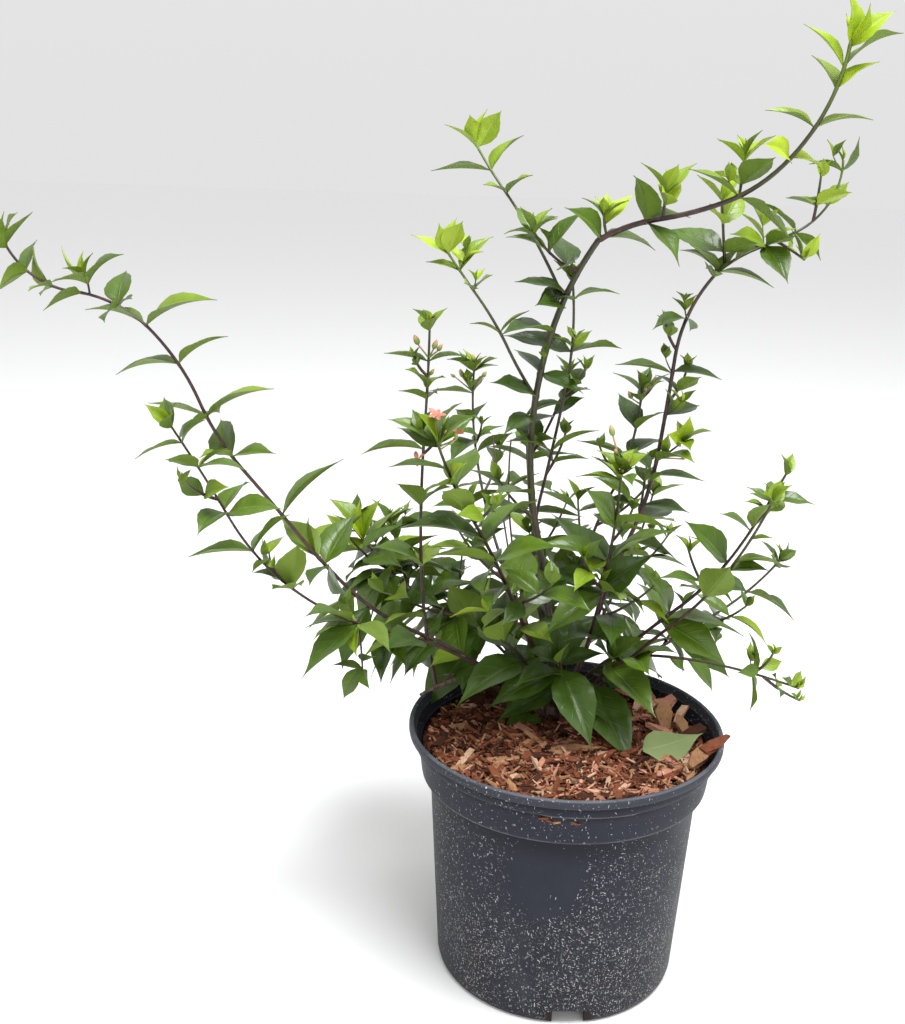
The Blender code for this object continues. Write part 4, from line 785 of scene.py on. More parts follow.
# %% The table of stems
STEMS = {
    # Arching canes on the left
    "left_arch": Stem(
        188, 437, (47, 56, 67, 45, 38, 40, 22, 43, 84, 23), (2.9, 1.5),
        (("left_arch_cane", 0.31), ("left_arch_shoot", 0.7), ("left_arch_tip", 1.0)), low_seat(186),
        Pairs(152, (33, 19), (44, 26), 0, 26),
    ),
    "left_low": Stem(
        207, 313, (46, 53, 72, 50, 27, 31), (2.2, 1.2), (("left_low_cane", 0.34), ("left_low_shoot", 1.0)),
        low_seat(232), Pairs(122, (30, 24), (38, 24), 0, 30),
        (Side(262, 20, 26, (70, 40), 18),),
    ),
    "left_rise": Stem(
        158, 180, (29, 54, 80, 52, 46), (2.2, 1.4), (("left_rise_cane", 0.3), ("left_rise_shoot", 1.0)),
        low_seat(160), Pairs(60, (26, 20), (44, 28), 10, 45, -4),
        (
            Side(84, 35, 52, (80, 65, 70), 30), Side(120, -40, 40, (60, 20), 26),
            Side(140, 60, 46, (60, 30), 26),
        ),
    ),
    "left_thin": Stem(
        140, 182, (48, 58, 84, 66, 20), (1.8, 1.3), (("left_thin_cane", 0.31), ("left_thin_shoot", 1.0)),
        low_seat(136), Pairs(62, (26, 20), (42, 28), 20, 45, -4),
        (Side(96, -50, 42, (60, 30), 24), Side(140, 50, 38, (60, 20), 22)),
    ),
    # The riser at the rim and the canes with flower buds
    "rim_root": Stem(
        190, 82, (40, 48, 100, 120), (4.6, 3.6), (("rim_root_cane", 1.0),), low_seat(208),
    ),
    "rim_riser": Stem(
        188, 227, (14, 5, 0, -3, 0), (2.4, 1.4), (("rim_riser_cane", 0.4), ("rim_riser_shoot", 1.0)),
        ("rim_root", 0.96), Pairs(108, (28, 20), (34, 22), 10, 45, 6),
        (Side(150, 180, 22, (50, 20), 16), Side(196, 0, 16, (50, 20), 14)),
    ),
    "bud_cane": Stem(
        118, 252, (54, 55, 47, 25, -10), (2.8, 1.4), (("bud_cane", 0.42), ("bud_shoot", 1.0)),
        high_seat(118), Pairs(112, (30, 20), (42, 22), 30, 45, 0),
        (
            Side(130, 40, 44, (60, 30), 26), Side(160, -50, 40, (60, 20), 24),
            Side(196, 180, 22, (50, 10), 16),
        ),
    ),
    "front_cane": Stem(
        232, 220, (25, 30, 30, 37, 24), (2.8, 1.5), (("front_cane", 0.3), ("front_shoot", 1.0)),
        high_seat(262), Pairs(72, (28, 24), (42, 36), 0, 45, 0),
        (
            Side(92, 80, 42, (70, 40), 28), Side(112, -60, 40, (60, 30), 26),
            Side(160, 90, 20, (60, 30), 18),
        ),
    ),
    # The main stem with its arch, its whips and its short sprays
    "main_stem": Stem(
        0, 295, (4, -9, -12, 2, 15, 33), (4.8, 3.4), (("main_stem", 1.0),), high_seat(200),
    ),
    "main_arch": Stem(
        -8, 178, (58, 79, 68, 43, 24, 4), (3.3, 1.9), (("main_arch_bough", 0.61), ("main_arch_tip", 1.0)),
        ("main_stem", 1.0), Pairs(118, (26, 14), (32, 38), 0, 28, 20),
    ),
    "middle_cane": Stem(
        352, 270, (-15, -13, 11, 9, -8), (2.6, 1.4), (("middle_cane", 0.32), ("middle_shoot", 1.0)),
        high_seat(85), Pairs(92, (32, 22), (40, 22), 10, 45, 0),
        (
            Side(120, 180, 36, (60, 30), 24), Side(150, 60, 30, (50, 20), 22),
            Side(200, 0, 22, (50, 20), 18),
        ),
    ),
    "high_whip": Stem(
        150, 108, (31, 36, 44, 36), (2.0, 1.3), (("high_whip_shoot", 1.0),), ("main_stem", 0.87),
        Pairs(14, (28, 22), (28, 28), 20, 35),
    ),
    "low_whip": Stem(
        190, 101, (36, 27, 37, 35), (2.0, 1.3), (("low_whip_shoot", 1.0),), ("main_stem", 0.67),
        Pairs(16, (30, 22), (30, 26), 0, 40),
    ),
    "main_left": Stem(
        205, 40, (70, 50, 30), (1.8, 1.3), (("main_left_spray", 1.0),), ("main_stem", 0.93),
        Pairs(8, (18, 14), (30, 24), 20, 45),
    ),
    "main_back": Stem(
        60, 62, (60, 40, 30), (1.8, 1.3), (("main_back_spray", 1.0),), ("main_stem", 0.55),
        Pairs(12, (22, 18), (34, 26), 20, 45),
    ),
    "arch_near": Stem(
        170, 15, (20, 0), (1.7, 1.2), (("arch_near_spray", 1.0),), ("main_arch", 0.03),
        Pairs(6, (11, 8), (22, 16), 0, 45),
    ),
    "arch_middle": Stem(
        20, 18, (10, 0, 10), (1.7, 1.2), (("arch_middle_spray", 1.0),), ("main_arch", 0.21),
        Pairs(7, (12, 9), (26, 26), 10, 45),
    ),
    "arch_back": Stem(
        80, 30, (60, 30, 10), (1.7, 1.2), (("arch_back_spray", 1.0),), ("main_arch", 0.45),
        Pairs(9, (14, 10), (26, 18), 0, 45),
    ),
    # Canes on the right
    "right_cane": Stem(
        22, 284, (20, 15, 24, 7, 5, 45), (3.2, 2.0), (("right_cane", 0.34), ("right_shoot", 1.0)),
        high_seat(15), Pairs(104, (34, 26), (38, 30), 0, 32),
        (
            Side(128, 60, 40, (60, 30), 26), Side(200, 10, 26, (50, 10), 20),
            Side(232, 170, 20, (40, 10), 16),
        ),
    ),
    "right_fork": Stem(
        22, 106, (52, 70, 67, 35, -6), (1.9, 1.3), (("right_fork_shoot", 1.0),), ("right_cane", 1.0),
        Pairs(14, (20, 14), (28, 20), 0, 40),
        (
            Side(5, 38, 42, (-21, -16, -17), 28), Side(66, 10, 28, (10, 0), 18),
            Side(40, -60, 22, (110, 120), 22),
        ),
    ),
    "near_right": Stem(
        305, 177, (30, 19, 11, 2), (2.6, 1.4), (("near_right_cane", 0.28), ("near_right_shoot", 1.0)),
        high_seat(300), Pairs(54, (28, 20), (44, 24), 30, 45, -4),
        (Side(76, 60, 44, (70, 40), 28), Side(98, -60, 40, (60, 30), 26), Side(130, 90, 24, (50, 20), 18)),
    ),
    "back_right": Stem(
        48, 209, (-1, 11, 38, -1), (2.6, 1.4), (("back_right_cane", 0.27), ("back_right_shoot", 1.0)),
        high_seat(50), Pairs(62, (30, 22), (44, 24), 20, 45, 0),
        (
            Side(92, 50, 52, (70, 40), 28), Side(116, -50, 46, (60, 30), 26),
            Side(150, 150, 26, (50, 20), 18),
        ),
    ),
    "low_right": Stem(
        345, 210, (18, 42, 45, 28, 22), (2.6, 1.4), (("low_right_cane", 0.32), ("low_right_shoot", 1.0)),
        low_seat(350), Pairs(72, (26, 20), (42, 24), 0, 40, -4),
        (Side(176, -20, 22, (40, 10), 18),),
    ),
    "low_right_twin": Stem(
        335, 200, (37, 38, 44, 30, 20), (2.4, 1.4),
        (("low_right_twin_cane", 0.33), ("low_right_twin_shoot", 1.0)), low_seat(328),
        Pairs(72, (28, 20), (40, 24), 0, 40, -6),
        (Side(130, 150, 30, (60, 30), 24),),
    ),
    "far_right": Stem(
        325, 179, (31, 37, 76, 85, 92), (2.2, 1.3), (("far_right_cane", 0.42), ("far_right_shoot", 1.0)),
        low_seat(306), Pairs(82, (44, 18), (40, 16), 0, 35, -6),
        (Side(150, -20, 26, (60, 20), 14), Side(158, 30, 24, (130, 110), 12)),
    ),
    # Low sprays round the foot
    "low_front": Stem(
        270, 54, (14, 24, 34), (2.8, 2.0), (("low_front_spray", 1.0),), low_seat(276),
        Pairs(30, (13, 13), (34, 30), 20, 45, -6),
        blades=(Blade(45, 300, -38, 54), Blade(45, 204, -24, 50)),
    ),
    "low_left": Stem(
        226, 74, (25, 40, 50), (2.4, 1.6), (("low_left_spray", 1.0),), high_seat(232),
        Pairs(30, (17, 15), (46, 40), 40, 45, 8),
    ),
    "low_back": Stem(
        92, 86, (10, 25, 35), (2.4, 1.6), (("low_back_spray", 1.0),), low_seat(89),
        Pairs(32, (19, 17), (46, 38), 0, 45, -8),
    ),
    "low_near": Stem(
        318, 60, (25, 40, 50), (2.6, 1.8), (("low_near_spray", 1.0),), high_seat(338),
        Pairs(38, (14, 14), (40, 34), 20, 45, -10),
        blades=(Blade(26, 308, -34, 64), Blade(36, 352, -20, 44)),
    ),
    # Bare dead twigs
    "dead_left": Stem(
        125, 181, (45, 24, 16), (1.6, 1.0), (("dead_twig_left", 1.0),), low_seat(121),
    ),
    "dead_right": Stem(
        150, 170, (25, 15, -4), (1.6, 1.0), (("dead_twig_right", 1.0),), high_seat(150),
    ),
    # Low canes at the back
    "back_left": Stem(
        104, 190, (40, 50, 40, 20), (2.6, 1.4), (("back_left_cane", 0.26), ("back_left_shoot", 1.0)),
        low_seat(106), Pairs(54, (30, 22), (44, 26), 10, 45, -2),
        (Side(80, 50, 54, (80, 60), 28), Side(106, -50, 48, (60, 30), 26)),
    ),
    "back_low": Stem(
        66, 178, (45, 60, 55, 30), (2.6, 1.4), (("back_low_cane", 0.26), ("back_low_shoot", 1.0)),
        low_seat(72), Pairs(52, (30, 22), (44, 26), 10, 45, -2),
        (Side(76, 50, 52, (80, 60), 28), Side(104, -50, 46, (60, 30), 26)),
    ),
    "right_low_back": Stem(
        20, 168, (48, 62, 60, 40), (2.6, 1.4), (("right_back_cane", 0.28), ("right_back_shoot", 1.0)),
        low_seat(26), Pairs(52, (30, 22), (42, 26), 10, 45, -2),
        (Side(72, 50, 46, (80, 60), 28), Side(96, -50, 42, (70, 40), 26)),
    ),
}
print("stems:", len(STEMS))

# %% [markdown]
# ## Following a stem
#
# A path is the stem's centre line as a row of points. From it come the place and the direction
# at any distance from the foot. A stem that another one carries starts on its carrier's centre
# line, inside the wood, so that the two join without a gap.

# %% Paths
PATH_STEP, LOOK_AHEAD = 3.0 * MM, 2.0 * MM


def heading_vector(degrees):
    return Vector((math.cos(math.radians(degrees)), math.sin(math.radians(degrees)), 0.0))


def between(values, share):
    """The value at a share from 0 to 1 of a row of equally spaced values."""
    place = min(max(share, 0.0), 1.0) * (len(values) - 1)
    index = min(int(place), len(values) - 2)
    return values[index] + (values[index + 1] - values[index]) * (place - index)


class Path:
    """A stem's centre line, grown from its foot by its leans from upright."""

    def __init__(self, start, heading, length, leans, thick):
        self.heading, self.length, self.thick = heading, length, thick
        steps = max(3, round(length / PATH_STEP))
        self.step = length / steps
        self.points, self.nodes = [start.copy()], []
        for index in range(steps):
            angle = math.radians(between(leans, (index + 0.5) / steps))
            tangent = heading_vector(heading) * math.sin(angle) + UP * math.cos(angle)
            self.points.append(self.points[-1] + tangent * self.step)

    def at(self, distance):
        place = min(max(distance / self.step, 0.0), len(self.points) - 1.001)
        index = int(place)
        return self.points[index].lerp(self.points[index + 1], place - index)

    def tangent(self, distance):
        return (self.at(distance + LOOK_AHEAD) - self.at(distance - LOOK_AHEAD)).normalized()

    def radius(self, distance):
        return between(self.thick, distance / self.length) * MM / 2


# Twigs too fine for the plain solids, and the torn end of the old cane
STEMS.update({
    "left_arch_twig": Stem(190, 11, (4, 14), (1.3, 0.9), (), root=("left_arch", 0.868)),
    "left_hanging_twig": Stem(300, 28, (150, 176), (1.4, 1.0), (), root=("left_low", 0.47)),
    "left_low_twig": Stem(200, 14, (24, 4), (1.3, 0.9), (), root=("left_low", 0.66)),
    "front_twig": Stem(192, 22, (70, 60), (1.3, 0.9), (), root=("front_cane", 0.33)),
    "right_cane_twig": Stem(0, 20, (52, 46), (1.4, 1.0), (), root=("right_cane", 0.577)),
    "rim_prong": Stem(170, 20, (95, 100), (2.6, 1.4), (), root=("rim_root", 0.66)),
    "rim_splinter": Stem(194, 18, (112, 120), (3.2, 1.8), (), root=("rim_root", 0.88)),
})
paths = {}
for name, stem in STEMS.items():
    if isinstance(stem.root, Seat):
        start = CROWN + heading_vector(stem.root.azimuth) * stem.root.out + UP * stem.root.height
    else:
        carrier, share = stem.root
        start = paths[carrier].at(share * paths[carrier].length)
    paths[name] = Path(start, stem.heading, stem.length * MM, stem.leans, stem.thick)
print("stem length in all:", round(sum(path.length for path in paths.values()), 2), "m")

# %% [markdown]
# ## The shape of a leaf
#
# An abelia leaf is a drawn-out egg shape with a sharp tip and a few faint teeth. Its two halves
# rise from the midrib like a gull's wings, and the whole blade bends back towards its tip. All
# of that is a formula over a small grid: `along` runs from the stalk to the tip and `across`
# from one margin to the other, so a leaf of any size and bend is one call.

# %% Leaf surface
PETIOLE = 0.055
LEAF_THICK = 0.32 * MM
BIG_GRID, MIDDLE_GRID, SMALL_GRID, TEST_GRID = (14, 9), (10, 7), (7, 5), (4, 3)
# What turns a leaf's face: its stem, the way out of the crown and the light from the front
FACE_ALONG, FACE_OUTWARD, FACE_LIGHT, CROWN_SPREAD = 0.35, 0.5, 0.42, 120.0 * MM
LIGHT = Vector((0.1, -1.0, 0.0))


def outline(along, blunt=False):
    """Half the leaf's width as a share of its greatest, along its length."""
    blade = np.clip((along - PETIOLE) / (1 - PETIOLE), 0, 1)
    widest, sharpness = (0.85, 0.0) if blunt else (0.68, 0.9)
    half = np.sin(np.pi * blade**widest) ** (0.8 + sharpness * blade)
    return np.maximum(half, 0.05 * (1 - blade))


class Leaf:
    """One leaf: where it sits, which way it points, how it lies and how it is bent."""

    def __init__(self, root, thick, tangent, turn, lift, roll, length, youth, rng):
        self.root, self.thick, self.tangent = root, thick, tangent
        self.turn, self.lift, self.roll, self.length, self.youth = turn, lift, roll, length, youth
        self.bend = rng.uniform(0.25, 1.15) * (1 - 0.55 * youth)
        self.fold = rng.uniform(0.28, 0.6) + 0.35 * youth
        self.twist = rng.uniform(-0.35, 0.35)
        self.wave = rng.uniform(0.0, 0.035)
        self.phase = rng.uniform(0, 6.3)
        self.width = rng.uniform(0.44, 0.58) - 0.06 * youth
        self.blunt, self.green = False, None

    def axes(self):
        lift = math.radians(self.lift)
        direction = heading_vector(self.turn) * math.cos(lift) + UP * math.sin(lift)
        outward = Vector((self.root.x, self.root.y, 0.0)) / CROWN_SPREAD
        rising = UP + self.tangent * FACE_ALONG + outward * FACE_OUTWARD + LIGHT * FACE_LIGHT
        normal = (rising - direction * rising.dot(direction)).normalized()
        normal = Matrix.Rotation(math.radians(self.roll), 3, direction) @ normal
        return direction, normal

    def surface(self, grid, start=0.0, sunk=0.0, toothed=True):
        """Points of the leaf's face on a grid, sunk below it for the underside."""
        rows, columns = grid
        along = np.linspace(start, 1, rows)[:, None]
        across = np.linspace(-1, 1, columns)[None, :]
        tooth = 1 + 0.05 * ((np.arange(rows)[:, None] % 2) - 0.5) * np.clip(4 * along * (1 - along), 0, 1)
        half = outline(along, self.blunt) * self.width * self.length / 2 * (tooth if toothed else 1)
        rise = self.fold * (np.abs(across) - 0.42 * across**2) * half
        rise = rise + self.wave * 4 * half * across**2 * np.sin(9 * along + self.phase + 2 * across)
        rise = rise - sunk * (1 - across**2)
        turn = self.twist * along
        side = across * half * np.cos(turn) - rise * np.sin(turn)
        rise = across * half * np.sin(turn) + rise * np.cos(turn)
        angle = self.bend * (0.5 - along)
        ahead = (np.sin(self.bend / 2) - np.sin(angle)) / self.bend * self.length - np.sin(angle) * rise
        above = (np.cos(angle) - np.cos(self.bend / 2)) / self.bend * self.length + np.cos(angle) * rise
        direction, normal = self.axes()
        base = self.root + direction * 0.4 * self.thick
        frame_axes = np.array((direction, normal.cross(direction), normal))
        return np.stack([ahead, side, above], -1).reshape(-1, 3) @ frame_axes + np.array(base)


def leaf_places(grid):
    along, across = np.meshgrid(np.linspace(0, 1, grid[0]), np.linspace(0, 1, grid[1]), indexing="ij")
    return np.stack([across, along], -1).reshape(-1, 2)


print("a large leaf has", 4 * (BIG_GRID[0] - 1) * (BIG_GRID[1] - 1), "triangles")

# %% [markdown]
# ## Room to grow
#
# Real leaves don't pass through each other, because they grow into free space. A grid of cells
# remembers what is where, so that a new leaf is only tested against what lies near it. A leaf
# that touches something is turned and lifted a few times, and left out if that doesn't help.

# %% Free space
CELL = 22.0 * MM
# Wood enters the room in short plain tubes of five sides
STRETCH, PLAIN_SIDES = 12 * MM, 5
# How far and how much wood swells at a node, and the waves of its relief
SWELL_REACH, SWELL_SHARE, SLOW_WAVE, FAST_WAVE = 1.4 * MM, 0.16, 900, 2100


class Room:
    """Everything grown so far, found again by place."""

    def __init__(self):
        self.cells = {}

    def cells_of(self, points):
        low = np.floor(points.min(0) / CELL).astype(int)
        high = np.floor(points.max(0) / CELL).astype(int)
        ranges = (range(a, b + 1) for a, b in zip(low, high))
        return itertools.product(*ranges)

    def add(self, points, faces):
        tree = BVHTree.FromPolygons(points.tolist(), faces.tolist())
        for cell in self.cells_of(points):
            self.cells.setdefault(cell, []).append(tree)

    def hits(self, points, faces):
        tree = BVHTree.FromPolygons(points.tolist(), faces.tolist())
        near = {id(other): other for cell in self.cells_of(points) for other in self.cells.get(cell, ())}
        return any(tree.overlap(other) for other in near.values())


def tube(path, start, end, sides, step, relief=0.0):
    """Rings of points round part of a path, swollen at its nodes."""
    count = max(1, round((end - start) / step))
    rings, side = [], path.tangent(0).orthogonal().normalized()
    angles = ring_angles(sides)[:, None]
    for distance in np.linspace(start, end, count + 1):
        centre, tangent = path.at(distance), path.tangent(distance)
        side = (side - tangent * side.dot(tangent)).normalized()
        other = np.array(tangent.cross(side))
        swell = sum(math.exp(-((distance - node) / SWELL_REACH) ** 2) for node in path.nodes)
        lumps = np.sin(3 * angles + distance * SLOW_WAVE) * np.sin(distance * FAST_WAVE + 2 * angles)
        radius = path.radius(distance) * (1 + SWELL_SHARE * min(swell, 1) + relief * lumps)
        ring = np.cos(angles) * np.array(side) + np.sin(angles) * other
        rings.append(np.array(centre) + ring * radius)
    return np.concatenate(rings)


room = Room()
for path in paths.values():
    for start in np.arange(0, path.length, STRETCH):
        end = min(start + STRETCH, path.length)
        wood = tube(path, start, end, PLAIN_SIDES, STRETCH)
        room.add(wood, grid_faces(2, PLAIN_SIDES, closed=True))
print("cells with wood in them:", len(room.cells))

# %% [markdown]
# ## The rule of the leaves
#
# Abelia leaves come in opposite pairs, and each pair stands across the one below it. Outer
# leaves droop, young ones stand up, and those in the dense low part hang and grow larger.
# About half of the axils carry a short sprig with a pair or two of small leaves. At each tip
# sit four pairs of young leaves, the innermost almost upright.

# %% Leaf habit
OUTWARD_DROOP, LIFT_SPREAD, TURN_SPREAD, ROLL_SPREAD = 14.0, 16.0, 14.0, 26.0
YOUNG_LIFT, YOUNG_REACH = 30.0, 34.0 * MM
LOW_DROOP, LOW_GROWTH, LOW_ZONE = 30.0, 0.26, (215.0 * MM, 330.0 * MM)
RETRY_TURN, RETRY_LIFT, RETRY_SHRINK, TRIES = 34.0, 24.0, 0.05, 8
SIZE_SPREAD, TIP_SPREAD = 0.14, 8
# A leaf is tested from here along its length, clear of the stalk that joins it to the wood
TEST_START = 0.16
# The last grown pair stays this far below the tip
TIP_ROOM = 6.5 * MM
# Young pairs at a tip: place in mm before it, share of the last pair's size, lift in degrees
TIP_PAIRS = ((4.5, 0.86, 34), (2.6, 0.68, 48), (1.0, 0.48, 62), (0.0, 0.3, 76))
SPRIG_TIP = ((1.2, 0.7, 46), (0.0, 0.42, 68))
print("pairs of young leaves at a tip:", len(TIP_PAIRS))

# %% [markdown]
# The rule is written as generators that follow one another: a stem asks for pairs up its
# length, each pair gives its two leaves, and the tip adds its young ones.

# %% Pairs and tips
def lowness(point):
    """One in the dense low part of the crown, none above it."""
    low, high = LOW_ZONE
    return min(max((high - point.z) / (high - low), 0.0), 1.0)


def away(point):
    return Vector((point.x, point.y, 0.0)).normalized()


def pair_leaves(path, distance, pair_turn, rest, length, young, rng):
    """The two leaves of one node."""
    place, tangent = path.at(distance), path.tangent(distance)
    low = lowness(place)
    for leaf_turn in (pair_turn, pair_turn + 180.0):
        pointing = heading_vector(leaf_turn)
        lift = rest + YOUNG_LIFT * young - OUTWARD_DROOP * pointing.dot(tangent)
        lift -= LOW_DROOP * low * (0.55 + 0.45 * pointing.dot(away(place)))
        lift += rng.uniform(-1, 1) * LIFT_SPREAD
        roll = rng.uniform(-1, 1) * ROLL_SPREAD
        size = length * (1 + rng.uniform(-1, 1) * SIZE_SPREAD) * (1 + LOW_GROWTH * low)
        yield Leaf(place, path.radius(distance), tangent, leaf_turn, lift, roll, size, young, rng)


def tip_leaves(path, size, turn, pairs, rng):
    for back, share, lift in pairs:
        turn += 90.0
        distance = path.length - back * MM
        length = max(size * share, 5.0) * MM
        for leaf_turn in (turn, turn + 180.0):
            youth = 1.15 - share * 0.8
            lean = lift + rng.uniform(-TIP_SPREAD, TIP_SPREAD)
            spun = leaf_turn + path.heading + rng.uniform(-TIP_SPREAD, TIP_SPREAD)
            foot, tangent = path.at(distance), path.tangent(distance)
            yield Leaf(foot, path.radius(distance), tangent, spun, lean, 0.0, length, youth, rng)


def stem_leaves(path, first, last, gaps, sizes, turn, spread, rest, tip, rng):
    """Opposite pairs up a stem, with young leaves at its tip unless there are none to grow."""
    distance, node = first, 0
    while distance < last - TIP_ROOM:
        share = (distance - first) / max(last - first, MM)
        young = max(0.0, 1.0 - (path.length - distance) / YOUNG_REACH)
        side = spread if node % 2 == 0 else -spread
        pair_turn = path.heading + turn + side + rng.uniform(-1, 1) * TURN_SPREAD
        path.nodes.append(distance)
        length = between(sizes, share) * MM
        yield from pair_leaves(path, distance, pair_turn, rest, length, young, rng)
        distance += between(gaps, share) * MM
        node += 1
    yield from tip_leaves(path, sizes[-1], turn + 90.0 * node, tip, rng)


def place_leaves(leaves, rng):
    """The leaves that find room: each is turned and lifted a few times before it is skipped."""
    faces, placed = grid_faces(*TEST_GRID), []
    for leaf in leaves:
        turn, lift, length = leaf.turn, leaf.lift, leaf.length
        for attempt in range(TRIES):
            points = leaf.surface(TEST_GRID, TEST_START, toothed=False)
            if not room.hits(points, faces):
                room.add(points, faces)
                placed.append(leaf)
                break
            leaf.turn = turn + rng.uniform(-1, 1) * RETRY_TURN
            leaf.lift = lift + rng.uniform(-1, 1) * RETRY_LIFT
            leaf.length = length * (1.0 - RETRY_SHRINK * attempt)
    return placed


print("a leaf gets", TRIES, "tries to find room")
